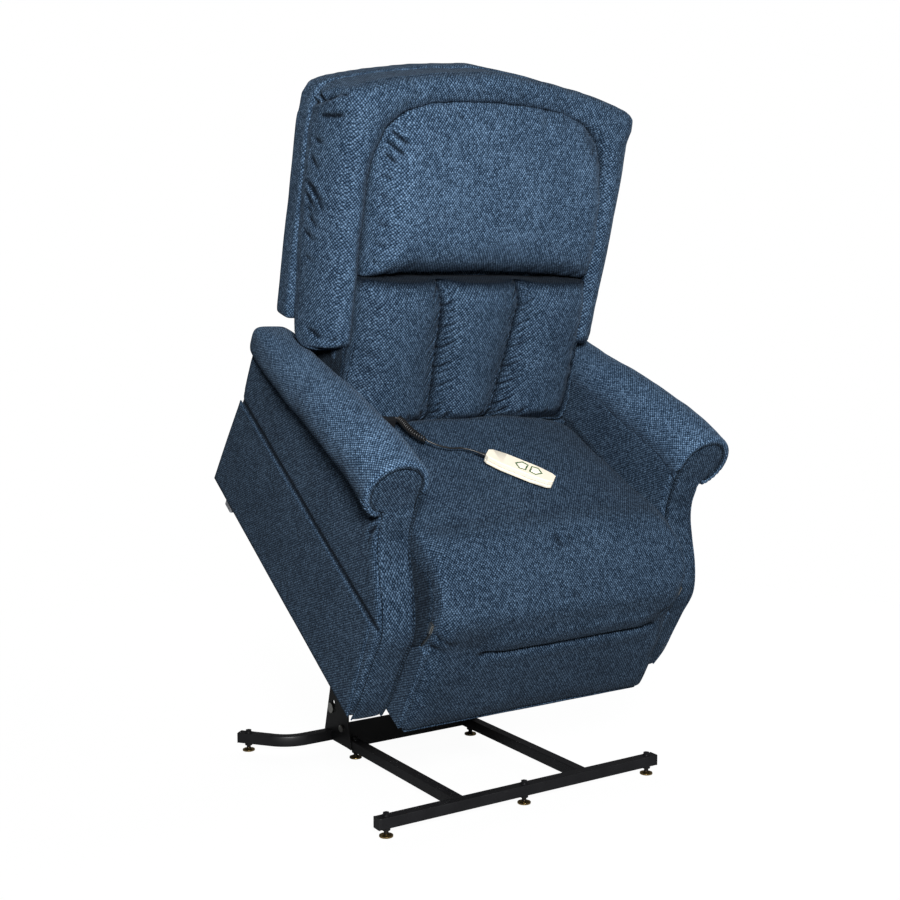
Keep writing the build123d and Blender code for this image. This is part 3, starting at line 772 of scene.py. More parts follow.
# crease between the seat's front roll and the legrest, fading to the sides, with the roll hanging over it
wc = 211 + 3 * np.sin(X / 120.0)
fade = 1 - sstep(np.where(X > 0, 215, 130), np.where(X > 0, 290, 215), np.abs(X))
d = W - wc
P[:, 1] += front * fade * (28 * np.exp(-(d / 7.0) ** 2) - 12.0 * np.exp(-((d - 30) / 24) ** 2) - 3.0 * np.exp(-((d + 24) / 16) ** 2))
P[:, 2] -= front * fade * 9.0 * np.exp(-((d - 16) / 13) ** 2)
# gathers running out of both ends of the crease
Q2 = np.stack([X, W], 1)
dv = np.zeros(len(P))
for sx in (-1, 1):
    dv += seg(Q2, (sx * 270, 246), (sx * 300, 262), 7, 3)
    dv += seg(Q2, (sx * 302, 262), (sx * 326, 278), 6, 4)
    dv += seg(Q2, (sx * 300, 236), (sx * 327, 240), 6, 4)
P += N * (dv * front)[:, None]
# slow unevenness of foam under the cover
P += N * (1.6 * vnoise(P, 95, 3) + 0.7 * vnoise(P, 38, 5))[:, None]
P[:, 0] = np.clip(P[:, 0], -333, 333)
set_co(pad.data, P * 0.001)
# painted shade: the crease under the seat's front roll and the lower part of the roll are darkened in the fabric's
# colour, as if in shadow
finish_soft(pad, "chair", FABRIC_SEAT, None, ["seat_cushion", "legrest_pad"], along=along_pad,
            dark=np.maximum(front * fade * 0.9 * np.exp(-(d / 6.0) ** 2), 0.2 * front * sstep(335, 250, W)))
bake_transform(pad)

# ------------------------------------------------------------------ lumbar cushion: three upright channels
LUM = [(-296, -26), (296, -26), (311, 2), (315, 60), (315, 112), (306, 138), (302, 322), (-302, 322), (-306, 138), (-315, 112), (-315, 60), (-311, 2)]
V, F = prism_mesh(LUM, 1, -26.0, 61.0)
lum = new_mesh("lumbar_channels", V * 0.001, F)
fix_normals(lum)
voxel(lum, 6.0)
smooth_mod(lum, 8)
inflate(lum, 3.0, 12.0, lambda Q: np.repeat(np.clip((40 - Q[:, 1]) / 40, 0, 1)[:, None], 3, axis=1) * np.array([0.2, 1, 0.2]))
subdivide(lum, 1)
P = get_co(lum.data) * 1000
N = get_no(lum.data)
X, T, H = P[:, 0].copy(), P[:, 1].copy(), P[:, 2].copy()
front = sstep(0.15, 0.7, -N[:, 1])
seam = np.interp(H, [0, 300], [85, 106])
wob = 2.5 * vnoise(np.stack([H, np.sign(X) * 50], 1), 40, 8)
dx = np.abs(X) - seam + wob
s = np.where(dx < 0, np.clip(np.abs(X) / np.maximum(seam, 1), 0, 1), np.clip((np.abs(X) - seam) / (306 - seam), 0, 1) * 2 - 1)
bulge = np.clip(1 - np.abs(s) ** 2.0, 0, 1) ** 0.8
sidee = np.clip((306 - np.abs(X)) / 40, 0, 1) ** 0.6
bulge = np.where((dx > 0) & (s > 0), np.maximum(bulge, 0) * 0.8 + 0.2 * sidee, bulge)
ends = sstep(-28, 20, H)
lean_in = np.interp(H, [-26, 10, 90, 200, 300], [12, 7, 0, -11, -20])
puffed = 46.0 * bulge * (0.55 + 0.45 * ends) * np.interp(H, [200, 320], [1.0, 0.8])
P[:, 1] += front * (lean_in + 22.0 - puffed + 16 * sstep(262, 318, H))
# shirring: short slanted pleats each side of each seam
for per, amp, off in ((16.5, 4.6, 0.0), (25.0, 2.6, 2.1)):
    ph = 2 * math.pi * (H - 0.9 * dx * np.sign(X)) / per + off + 2.4 * vnoise(np.stack([H, X], 1), 60, 11)
    P[:, 1] -= front * amp * np.sin(ph) * np.exp(-(np.abs(dx) / 21.0) ** 1.5) * (0.45 + 0.55 * (0.5 + 0.5 * vnoise(np.stack([H, X * 0.3], 1), 33, 4)))
P[:, 1] += front * 12.0 * np.exp(-(np.abs(dx) / 4.2) ** 1.5)
Q2 = np.stack([X, H], 1)
dv = np.zeros(len(P))
for sx in (-1, 1):
    for (a, b, wd, dp) in (((60, 300), (52, 262), 9, 1.2), ((24, 304), (20, 270), 9, 1.2), ((84, 300), (92, 268), 9, 1.2), ((126, 304), (134, 262), 9, 1.2), ((160, 304), (172, 274), 9, 1.2),
                           ((206, 306), (212, 276), 9, 1.6), ((252, 304), (246, 280), 9, 1.6), ((292, 210), (262, 196), 10, 2), ((292, 168), (262, 150), 10, 2.5),
                           ((300, 120), (268, 116), 10, 2.5), ((302, 76), (270, 84), 10, 2), ((104, -2), (122, 22), 5, 5), ((150, -4), (162, 24), 6, 4), ((230, -4), (226, 24), 6, 3),
                           ((50, -6), (46, 20), 6, 4), ((74, 0), (66, 30), 5, 5)):
        dv += seg(Q2, (sx * a[0], a[1]), (sx * b[0], b[1]), wd, dp)
P += N * (dv * front)[:, None]
P += N * (1.4 * vnoise(P, 80, 13) + 0.8 * vnoise(P, 30, 15))[:, None]
set_co(lum.data, P * 0.001)
# painted shade: the seams between the channels and the top tucked under the pillow are darkened in the colour
finish_soft(lum, "back", FABRIC_LUMBAR, "back", ["lumbar_cushion"], dark=np.maximum(front * np.exp(-(np.abs(dx) / 7.0) ** 2) * 0.95, sstep(298, 320, H)))

# ------------------------------------------------------------------ head pillow
PIL_SIDE = [(303, 318), (306, 400), (305, 520), (299, 590), (281, 642), (243, 679), (172, 701), (80, 711), (0, 713)]
PIL = mirrored(PIL_SIDE)
PIL_LOW = [(306, 318), (200, 330), (0, 336), (-200, 330), (-306, 318)]
outline = PIL_SIDE[:-1] + [(0, 713)] + [(-x, h) for x, h in reversed(PIL_SIDE[:-1])] + [(-200, 330), (0, 336), (200, 330)]
V, F = prism_mesh(outline, 1, -34.0, 61.0)
pil = new_mesh("head_pillow_cover", V * 0.001, F)
fix_normals(pil)
voxel(pil, 7.0)
smooth_mod(pil, 6)
inflate(pil, 3.0, 12.0, lambda Q: np.repeat(np.clip((45 - Q[:, 1]) / 40, 0, 1)[:, None], 3, axis=1) * np.array([0.2, 1, 0.2]))
subdivide(pil, 1)
P = get_co(pil.data) * 1000
N = get_no(pil.data)
X, T, H = P[:, 0].copy(), P[:, 1].copy(), P[:, 2].copy()
Q2 = np.stack([X, H], 1)
fr_ = sstep(0.1, 0.7, -N[:, 1])
side_e = rounding(dist_to(Q2, [(x, h) for x, h in PIL_SIDE[:6]]), 78.0)
side_e = np.maximum(side_e, rounding(dist_to(Q2, [(-x, h) for x, h in PIL_SIDE[:6]]), 78.0))
top_e = rounding(dist_to(Q2, mirrored(PIL_SIDE[4:])), 90.0)
low_e = rounding(dist_to(Q2, PIL_LOW), 92.0)
t_mid = np.interp(H, [320, 370, 430, 500, 560, 620, 700], [-64, -72, -76, -70, -58, -42, -24])
drop = both(side_e * (6 - t_mid), top_e * (-8 - t_mid), low_e * (-4 - t_mid))
tf = t_mid + np.minimum(drop, 8 - t_mid)
P[:, 1] = 61 + (T - 61) * (tf - 61) / (-40.0 - 61)
dv = np.zeros(len(P))
for a, b, wd, dp in (((-271, 640), (-240, 612), 6, 6.5), ((-282, 618), (-250, 590), 5.5, 6), ((-288, 592), (-266, 572), 5.5, 4.5), ((270, 636), (242, 614), 7, 3),
                     ((282, 606), (258, 588), 7, 2.5), ((-60, 690), (-20, 662), 9, 1.2), ((120, 684), (106, 656), 10, 1.2)):
    dv += seg(Q2, a, b, wd, dp)
for x in (-250, -214, -176, -120, -60, 4, 58, 126, 172, 214, 252):
    dv += seg(Q2, (x, 322), (x + 5 * math.sin(x), 350 + 8 * math.cos(x * 1.3)), 7, 2.2)
for h in (360, 404, 452, 505, 548):
    for sx in (-1, 1):
        dv += seg(Q2, (sx * 300, h), (sx * 272, h - 12 + 6 * math.sin(h)), 8, 2.6)
P += N * (dv * fr_)[:, None]
P += N * (1.8 * vnoise(P, 95, 23) + 0.8 * vnoise(P, 34, 25))[:, None]
set_co(pil.data, P * 0.001)
# painted shade: the pillow's sides where they roll into the crease, and its lower edge, are darkened in the colour
finish_soft(pil, "back", FABRIC_PILLOW, "back", ["head_pillow"], dark=np.maximum(sstep(0.62, 0.95, side_e) * (1 - sstep(600, 690, H)) * 0.95, sstep(0.5, 0.95, low_e)))

# ------------------------------------------------------------------ bolster: the padded border round the pillow and lumbar
OUTER = [(388, 120), (390, 200), (395, 280), (399, 380), (401, 480), (402, 560), (401, 630), (393, 680), (376, 706), (352, 718), (262, 740), (140, 760), (0, 771)]
ARCH = [(300, 146), (301, 318), (304, 400), (303, 520), (297, 588), (279, 640), (241, 676), (170, 698), (80, 708), (0, 710)]
V, F = prism_mesh([(388, 146)] + OUTER[1:-1] + [(0, 771)] + [(-x, h) for x, h in reversed(OUTER[1:-1])] + [(-388, 146)] + [(-x, h) for x, h in ARCH[:-1]] + [(0, 710)]
                  + list(reversed(ARCH[:-1])), 1, -12.0, 112.0)
bol = new_mesh("back_border", V * 0.001, F)
fix_normals(bol)
voxel(bol, 6.5)
smooth_mod(bol, 6)
P = get_co(bol.data) * 1000
hb = np.interp(P[:, 1], [-20, 70, 90, 105, 112], [143, 158, 173, 186, 193])
low = P[:, 2] < 240
P[:, 2] = np.where(low, hb + (P[:, 2] - 146) * (240 - hb) / 94.0, P[:, 2])
set_co(bol.data, P * 0.001)


def bol_mask(Q):
    m = np.clip((70 - Q[:, 1]) / 60, 0, 1)
    return np.stack([m * 0.25, m, m * 0.25], axis=1)


inflate(bol, 3.0, 8.0, bol_mask)
subdivide(bol, 1)
P = get_co(bol.data) * 1000
N = get_no(bol.data)
X, T, H = P[:, 0].copy(), P[:, 1].copy(), P[:, 2].copy()
Q2 = np.stack([X, H], 1)
aX = np.abs(X)
up = sstep(630, 722, H)
d_out = dist_to(Q2, mirrored(OUTER))
out_e = rounding(d_out, 84.0 - 58.0 * up) * (118.0 - 92.0 * up)
in_e = rounding(dist_to(Q2, mirrored(ARCH)), 36.0) * np.interp(H, [560, 680], [24, 7])
bot_e = rounding(np.clip(H - 155, 0, 200), 40.0) * 55.0
t_mid = -22.0
tf = t_mid + np.minimum(both(out_e, in_e, bot_e), 126)
P[:, 1] = 112 + (T - 112) * (tf - 112) / (-12.0 - 112)
# creases are drawn on the border's own girth, so that they run on round its outer edge
A = np.sign(X) * (aX + 0.64 * P[:, 1])
QA = np.stack([A, H], 1)
dv = np.zeros(len(P))
for sx, g in ((-1, 1.0), (1, 0.75)):
    for a, b, wd, dp in (((471, 702), (441, 677), 4.5, 9), ((441, 678), (400, 698), 5, 9), ((398, 700), (372, 700), 5, 6), ((436, 647), (382, 656), 5, 8.5), ((476, 664), (440, 676), 5, 7),
                         ((458, 506), (408, 455), 6, 6), ((459, 484), (424, 446), 5.5, 6), ((444, 500), (410, 470), 5, 5), ((456, 462), (428, 434), 5.5, 4.5), ((452, 440), (414, 414), 6, 3.5),
                         ((450, 400), (418, 384), 6, 3), ((446, 350), (412, 338), 7, 3), ((454, 560), (430, 536), 6, 3.5), ((450, 600), (424, 590), 6, 3),
                         ((420, 196), (372, 178), 6, 4), ((360, 172), (330, 190), 6, 3)):
        dv += g * seg(QA, (sx * a[0], a[1]), (sx * b[0], b[1]), wd, dp, end=0.4)
dv *= 1.05
for x in (-230, -150, -60, 40, 140, 236):
    dv += seg(Q2, (x, 764 - abs(x) * 0.08), (x + 14 * math.sin(x), 722), 8, 2.2)
P += N * (dv * sstep(-0.25, 0.3, -N[:, 1] + 0.35 * np.abs(N[:, 0])))[:, None]
P += N * (1.9 * vnoise(P, 90, 33) + 1.0 * vnoise(P, 36, 35))[:, None]
P[:, 1] = np.minimum(P[:, 1], 112.5)
set_co(bol.data, P * 0.001)
# painted shade: a band along the border's inner edge, against the pillow, is darkened in the colour, fading out toward
# the top
finish_soft(bol, "back", FABRIC, "back", ["back_bolster"], dark=0.95 * sstep(11, 2, dist_to(Q2, mirrored(ARCH))) * (1 - 0.92 * sstep(560, 670, H)))

# ------------------------------------------------------------------ outside back: the covered shell
SHELL = [(312, -6), (312, 80), (325, 84), (325, 196), (408, 196), (408, 290), (407, 420), (406, 620), (397, 682), (384, 707), (356, 720), (262, 742), (140, 763), (0, 776)]
outline = SHELL + [(-x, h) for x, h in reversed(SHELL[:-1])]
V, F = prism_mesh(outline, 1, 113.0, 171.0)
shell = new_mesh("outside_back", V * 0.001, F)
fix_normals(shell)
voxel(shell, 6.5)
smooth_mod(shell, 6)
subdivide(shell, 1)
P = get_co(shell.data) * 1000
N = get_no(shell.data)
rear = sstep(0.3, 0.8, N[:, 1])
inside = (1 - sstep(330, 395, np.abs(P[:, 0]))) * (1 - sstep(640, 740, P[:, 2])) * sstep(0, 60, P[:, 2])
P[:, 1] += rear * 4.0 * inside
P[:, 1] = np.where(P[:, 1] < 125, 113 + (P[:, 1] - 113) * 0.9, P[:, 1])
Q2 = np.stack([P[:, 0], P[:, 2]], 1)
dv = np.zeros(len(P))
for sx in (-1, 1):
    dv += seg(Q2, (sx * 376, 212), (sx * 378, 690), 3.6, 3.2, lip=0.5, end=0.15)
dv += seg(Q2, (-330, 214), (330, 214), 3.6, 2.4, lip=0.4, end=0.15)
P += N * (dv * rear)[:, None]
P += N * (1.0 * vnoise(P, 120, 43) + 0.5 * vnoise(P, 45, 45))[:, None]
P[:, 1] = np.clip(P[:, 1], 112.6, 172.0)
set_co(shell.data, P * 0.001)
finish_soft(shell, "back", FABRIC, "back", ["back_outer_shell"])


LINER = [(-322, 120), (322, 120), (322, 706), (-322, 706)]


def cloth_panel(name, outline, axis, a, b, fr, body, mat, cell=5.0, rough=0.6, seed=1, nodes=None):
    """a flat upholstered panel with a soft edge and slight slack"""
    V, F = prism_mesh(outline, axis, a, b)
    ob = new_mesh(name, V * 0.001, F)
    fix_normals(ob)
    voxel(ob, cell)
    smooth_mod(ob, 3)
    P = get_co(ob.data) * 1000
    N = get_no(ob.data)
    P += N * (rough * vnoise(P, 60, seed))[:, None]
    set_co(ob.data, P * 0.001)
    return finish_soft(ob, fr, mat, body, nodes)


cloth_panel("inside_back_liner", LINER, 1, 24.0, 50.0, "back", "back", FABRIC, 7.0, 0.6, 2)
# painted shade: the foot panel takes the darker lower copy, and the side wraps below take the much darker copy so the
# gaps by the wings read as shadow
cloth_panel("inside_back_foot", [(54, 6), (63, 6), (63, -61), (112, -61), (112, -67), (54, -67)], 0, -317, 317, "back", "back", FABRIC_LOW, 4.0, 0.3, 5)
for side, sx in (("left", -1), ("right", 1)):
    cloth_panel(f"inside_back_wrap_{side}", [(-4, -12), (60, -12), (60, 66), (108, 66), (108, 200), (-4, 200)], 0, min(sx * 312, sx * 321), max(sx * 312, sx * 321), "back", "back", FABRIC_SHADE, 3.6, 0.5, 3)

# ------------------------------------------------------------------ arms
ROLL = np.array([(120, 519, 70, 400), (228, 517, 69, 400), (303, 508, 68, 399), (379, 497, 66, 398), (458, 484, 63, 397), (535, 467, 61, 395), (632, 451, 57, 393),
                 (740, 433, 47, 390), (786, 423, 40, 388)], float)
CHAIN = np.array([(0, 0), (-8, 54), (-7, 120), (-6, 173), (-2, 255), (32, 308), (67, 345), (97, 380), (113, 411), (120, 450)], float)


def smooth_interp(x, xp, fp):
    """piecewise cubic through points, monotone enough for these profiles"""
    xp, fp = np.asarray(xp, float), np.asarray(fp, float)
    m = np.gradient(fp, xp)
    x = np.clip(x, xp[0], xp[-1])
    i = np.clip(np.searchsorted(xp, x) - 1, 0, len(xp) - 2)
    hh = xp[i + 1] - xp[i]
    t = (x - xp[i]) / hh
    return ((2 * t ** 3 - 3 * t ** 2 + 1) * fp[i] + (t ** 3 - 2 * t ** 2 + t) * hh * m[i] + (-2 * t ** 3 + 3 * t ** 2) * fp[i + 1] + (t ** 3 - t ** 2) * hh * m[i + 1])


def roll_w(u):
    return smooth_interp(u, ROLL[:, 0], ROLL[:, 1])


def roll_r(u):
    return smooth_interp(u, ROLL[:, 0], ROLL[:, 2])


def roll_x(u):
    return smooth_interp(u, ROLL[:, 0], ROLL[:, 3])


def arm_roll(side, sx):
    nphi = 96
    phi = np.arange(nphi) / nphi * 2 * math.pi            # 0 outward, 90 up
    cx, sn = np.cos(phi), np.sin(phi)
    # how far the lip stands round the scroll: none where the neck runs into it
    ang = np.degrees(phi)
    a_lip = np.where(ang <= 180, 1.0, np.where(ang > 270, sstep(280, 300, ang), 1 - sstep(184, 205, ang)))
    rings = []
    # from the recess floor out over the lip and back along the roll
    lip = [(131.0, -16.0, 0), (127.0, -14.5, 0), (123.0, -13.2, 1), (119.4, -11.0, 1), (117.2, -7.0, 1), (117.4, -2.5, 1), (120.0, 1.0, 1), (125.0, 2.6, 1), (133.0, 3.0, 1), (144.0, 2.2, 1)]
    for u0, dr, _ in lip:
        u = np.full(nphi, u0) + (1 - a_lip) * np.clip(131 - u0, 0, 14) * 0.9
        r = roll_r(max(u0, 120.0)) + dr
        rings.append(np.stack([sx * (400 + r * cx), u, roll_w(max(u0, 120.0)) + r * sn], 1))
    us = np.linspace(156, 776, 88)
    for u0 in us:
        r = roll_r(u0) + 2.2 * math.exp(-(u0 - 144) / 90.0)
        # padding is thicker on top and thins toward the outside and underneath
        rr = r + 1.6 * np.clip(sn, 0, 1) - 1.0 * np.clip(-sn, 0, 1)
        kq = float(sstep(560, 780, u0))
        ex = 2 + 3 * kq
        sq = (np.abs(cx) ** ex + np.abs(sn) ** ex) ** (-1 / ex)
        rr = rr * (1 + (sq - 1) * np.where(sn > -0.1, 1, 0.3) * kq)
        rings.append(np.stack([sx * (roll_x(u0) + rr * cx), np.full(nphi, u0), roll_w(u0) + rr * sn], 1))
    for du, dr in ((781, -1.5), (784, -4.5), (785.8, -10.0)):
        r = roll_r(786) + dr
        sq = (np.abs(cx) ** 5 + np.abs(sn) ** 5) ** -0.2
        r = r * (1 + (sq - 1) * np.where(sn > -0.1, 1, 0.3))
        rings.append(np.stack([sx * (roll_x(786) + r * cx), np.full(nphi, du), roll_w(786) + r * sn], 1))
    V = np.concatenate(rings)
    n = len(rings)
    F = grid_faces(n, nphi, wrap_v=True)
    V = np.concatenate([V, [[sx * 400, 131.5, roll_w(120.0)], [sx * 388, 786.0, roll_w(786)]]])
    c0, c1 = len(V) - 2, len(V) - 1
    F += [(c0, (j + 1) % nphi, j) for j in range(nphi)]
    F += [(c1, (n - 1) * nphi + j, (n - 1) * nphi + (j + 1) % nphi) for j in range(nphi)]
    ob = new_mesh(f"arm_roll_cover_{side}", V * 0.001, F)
    fix_normals(ob)
    subdivide(ob, 1)
    P = get_co(ob.data) * 1000
    N = get_no(ob.data)
    cxp = sx * P[:, 0] - roll_x(P[:, 1])
    szp = P[:, 2] - roll_w(P[:, 1])
    A = np.degrees(np.arctan2(szp, cxp)) % 360
    u = P[:, 1]
    body_ = sstep(122, 150, u)
    # pull lines that fan back from under the scroll, where the cover is gathered into the neck
    dv = np.zeros(len(P))
    for a0, L, dp in ((300, 36, 4.5), (309, 46, 4.2), (318, 40, 3.6), (328, 30, 2.8), (338, 24, 2.0), (292, 30, 4.0)):
        dv += seg(np.stack([(A - 180) * 1.22, u], 1), ((a0 - 180) * 1.22, 117), ((a0 - 180) * 1.22 + 6, 117 + L), 3.2, dp)
    P += N * dv[:, None]
    P += N * ((1.5 * vnoise(P, 85, 51 + int(sx)) + 0.7 * vnoise(P, 33, 53 + int(sx))) * body_)[:, None]
    set_co(ob.data, P * 0.001)
    ob = finish_soft(ob, "chair", FABRIC_ROLL, "chair", [f"arm_roll_{side}"])
    # the weave wraps round the roll
    me = ob.data
    f_of, nor, vi = poly_info(me)
    tot = np.bincount(f_of)
    start = np.concatenate([[0], np.cumsum(tot)[:-1]])
    Ar = np.radians(A)[vi]
    ref = Ar[start][f_of]
    Ar = ref + (Ar - ref + math.pi) % (2 * math.pi) - math.pi
    uv = np.stack([Ar * 0.070, u[vi] * 0.001], 1)
    lay = me.uv_layers["weave"]
    keep = np.empty(len(me.loops) * 2, np.float32)
    lay.data.foreach_get("uv", keep)
    keep = keep.reshape(-1, 2)
    flat = np.abs(nor @ R_CH)[f_of][:, 1] > 0.75
    lay.data.foreach_set("uv", np.where(flat[:, None], keep, uv).astype(np.float32).ravel())
    return ob


def chain_u(w):
    return smooth_interp(np.asarray(w, float), CHAIN[:, 1], CHAIN[:, 0])


def front_facing(side, sx):
    """the arm's front: one panel from the hem up the neck and round the scroll"""
    ws = np.concatenate([np.linspace(3, 440, 66), np.linspace(446, 574.5, 40)])
    na = 22
    rows = []
    R = 56.5
    for w in ws:
        circ = math.sqrt(max(R * R - (w - 519) ** 2, 0.0)) if abs(w - 519) < R else 0.0
        xin = 343.0 if w < 519 else 400 - circ
        if w < 519:
            xin = min(343.5, 400 - circ) if w > 462 else 343.0
            xin = max(xin, 343.0)
        xout = 411.5
        if w > 455:
            xout = max(411.5, 400 + circ) if w < 519 else 400 + circ
        if w > 455 and w < 519:
            e = sstep(455, 470, w)
            xout = 411.5 + (xout - 411.5) * float(e)
        a = np.linspace(0, 1, na)
        x = xin + (xout - xin) * a
        u_strip = float(chain_u(min(w, 450))) - 3.2
        u_disc = 123.5
        kk = float(sstep(448, 482, w))
        u = u_strip * (1 - kk) + u_disc * kk
        crown = (1 - (2 * a - 1) ** 4) * (2.6 if w < 470 else 3.4)
        if w > 519:
            crown *= math.sqrt(max(1 - ((w - 519) / R) ** 4, 0))
        rows.append(np.stack([sx * x, u - crown, np.full(na, w)], 1))
    A = np.array(rows)                       # front surface
    Bk = A.copy()
    Bk[:, :, 1] += 6.0                        # behind it
    n = len(ws)
    V = np.concatenate([A.reshape(-1, 3), Bk.reshape(-1, 3)])
    F = grid_faces(n, na)
    F += [tuple(reversed(f)) for f in grid_faces(n, na, off=n * na)]
    o = n * na
    for i in range(n - 1):
        F.append((i * na, (i + 1) * na, o + (i + 1) * na, o + i * na))
        F.append(((i + 1) * na + na - 1, i * na + na - 1, o + i * na + na - 1, o + (i + 1) * na + na - 1))
    for j in range(na - 1):
        F.append((j + 1, j, o + j, o + j + 1))
        F.append(((n - 1) * na + j, (n - 1) * na + j + 1, o + (n - 1) * na + j + 1, o + (n - 1) * na + j))
    ob = new_mesh(f"arm_front_{side}", V * 0.001, F)
    fix_normals(ob)
    subdivide(ob, 1)
    P = get_co(ob.data) * 1000
    N = get_no(ob.data)
    f_ = sstep(0.3, 0.8, -N[:, 1])
    P += N * ((0.8 * vnoise(P, 60, 61 + int(sx)) + 0.5 * vnoise(P, 26, 63)) * f_)[:, None]
    set_co(ob.data, P * 0.001)
    finish_soft(ob, "chair", FABRIC_FRONT, "chair", ["arm_front_facings"])
    # welts: one up the inner edge, round the scroll; one up the outer edge to the neck
    inner = [(sx * 342.0, float(chain_u(w)) - 4.4, w) for w in np.linspace(4, 446, 60)]
    inner += [(sx * 342.0, 117.5 + 4.5 * float(sstep(450, 500, w)), w) for w in np.linspace(454, 512, 8)]
    for a in np.linspace(178, -58, 60):
        inner.append((sx * (400 + 57.6 * math.cos(math.radians(a))), 121.6, 519 + 57.6 * math.sin(math.radians(a))))
    outer = [(sx * 412.6, float(chain_u(w)) - 3.2, w) for w in np.linspace(4, 446, 60)]
    outer += [(sx * (412.6 + 5 * float(sstep(452, 470, w))), 118.0 + 2.5 * float(sstep(452, 470, w)), w) for w in np.linspace(452, 470, 5)]
    for nm, pts in (("inner", inner), ("outer", outer)):
        V, F, _ = tube_mesh(chair(np.array(pts)), 0.0032 if nm == "inner" else 0.0018, 8)
        t_ = new_mesh(f"arm_welt_{nm}_{side}", V, F)
        weave(t_, "chair")
        # painted shade: the inner welt takes the much darker copy of the fabric
        t_.data.materials.append(FABRIC_SHADE if nm == "inner" else FABRIC_FRONT)
        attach(t_, "chair")
    return ob


def arm_panel(side, sx):
    ob = local_node(f"arm_panel_cover_{side}", f"arm_panel_{side}", "chair")
    voxel(ob, 7.0)
    smooth_mod(ob, 5)
    subdivide(ob, 1)
    P = get_co(ob.data) * 1000
    N = get_no(ob.data)
    outw = sstep(0.4, 0.9, N[:, 0] * sx)
    P += N * ((1.0 * vnoise(P, 110, 71 + int(sx)) + 0.5 * vnoise(P, 42, 73)) * (0.4 + 0.6 * outw))[:, None]
    # the outer face is pulled in just above the pleat
    d = P[:, 2] - np.interp(P[:, 1], [34, 774], [247, 264])
    P[:, 0] -= sx * outw * (4.5 * np.exp(-((d - 2) / 8.0) ** 2))
    Q2 = P[:, 1:3]
    P[:, 2] -= 5.0 * sstep(30, 6, P[:, 2])
    dv = np.zeros(len(P))
    for (a, b, wd, dp) in (((122, 452), (156, 418), 6, 6), ((124, 440), (144, 392), 6, 5), ((134, 458), (190, 440), 6, 5), ((128, 420), (136, 372), 7, 3)):
        dv += seg(Q2, a, b, wd, dp)
    P += N * (dv * outw)[:, None]
    set_co(ob.data, P * 0.001)
    # painted shade: a thin line just above the skirt's pleat is darkened in the colour
    return finish_soft(ob, "chair", FABRIC_SIDE, "chair", [f"arm_panel_{side}"], dark=outw * np.exp(-((d - 1) / 4.2) ** 2))


def side_skirt(side, sx):
    """lower side panel, folded over along its top edge"""
    nu, nv = 110, 34
    a = np.linspace(0, 1, nu)[:, None]
    v = np.linspace(0, 1, nv)[None, :]
    lo_u, lo_w = 3 + (804 - 3) * a, 4 + 0 * a
    hi_u, hi_w = 34 + (774 - 34) * a, 246 + (263 - 246) * a
    U = lo_u + (hi_u - lo_u) * v
    W = lo_w + (hi_w - lo_w) * v
    Xo = 421.6 + 0.5 * np.exp(-((1 - v) / 0.035) ** 2) + 0.8 * np.sin(v * math.pi)
    Xo = Xo * np.ones_like(U)
    edge = np.minimum(np.minimum(a, 1 - a) * 800, v * 250) / 6.0
    Xo = Xo - 2.6 * (1 - np.clip(edge, 0, 1)) ** 2
    outer = np.stack([sx * Xo, U, W], -1).reshape(-1, 3)
    inner = np.stack([sx * 417.2 * np.ones_like(U), U, W], -1).reshape(-1, 3)
    V = np.concatenate([outer, inner])
    o = nu * nv
    F = grid_faces(nu, nv) + [tuple(reversed(f)) for f in grid_faces(nu, nv, off=o)]
    for i in range(nu - 1):
        F.append((i * nv, (i + 1) * nv, o + (i + 1) * nv, o + i * nv))
        F.append(((i + 1) * nv + nv - 1, i * nv + nv - 1, o + i * nv + nv - 1, o + (i + 1) * nv + nv - 1))
    for j in range(nv - 1):
        F.append((j + 1, j, o + j, o + j + 1))
        F.append(((nu - 1) * nv + j, (nu - 1) * nv + j + 1, o + (nu - 1) * nv + j + 1, o + (nu - 1) * nv + j))
    ob = new_mesh(f"side_skirt_{side}", V * 0.001, F)
    fix_normals(ob)
    P = get_co(ob.data) * 1000
    N = get_no(ob.data)
    outw = sstep(0.4, 0.9, N[:, 0] * sx)
    P += N * ((0.9 * vnoise(P, 130, 81 + int(sx)) + 0.5 * vnoise(P, 48, 83)) * outw)[:, None]
    set_co(ob.data, P * 0.001)
    return finish_soft(ob, "chair", FABRIC_SIDE, "chair", ["side_skirts"])


cloth_panel("seat_tail", [(494, 300), (554, 300), (543, 322), (531, 345), (525, 356), (498, 365)], 0, -321, 321, "chair", "chair", FABRIC_SEAT, 5.0, 0.4, 17)
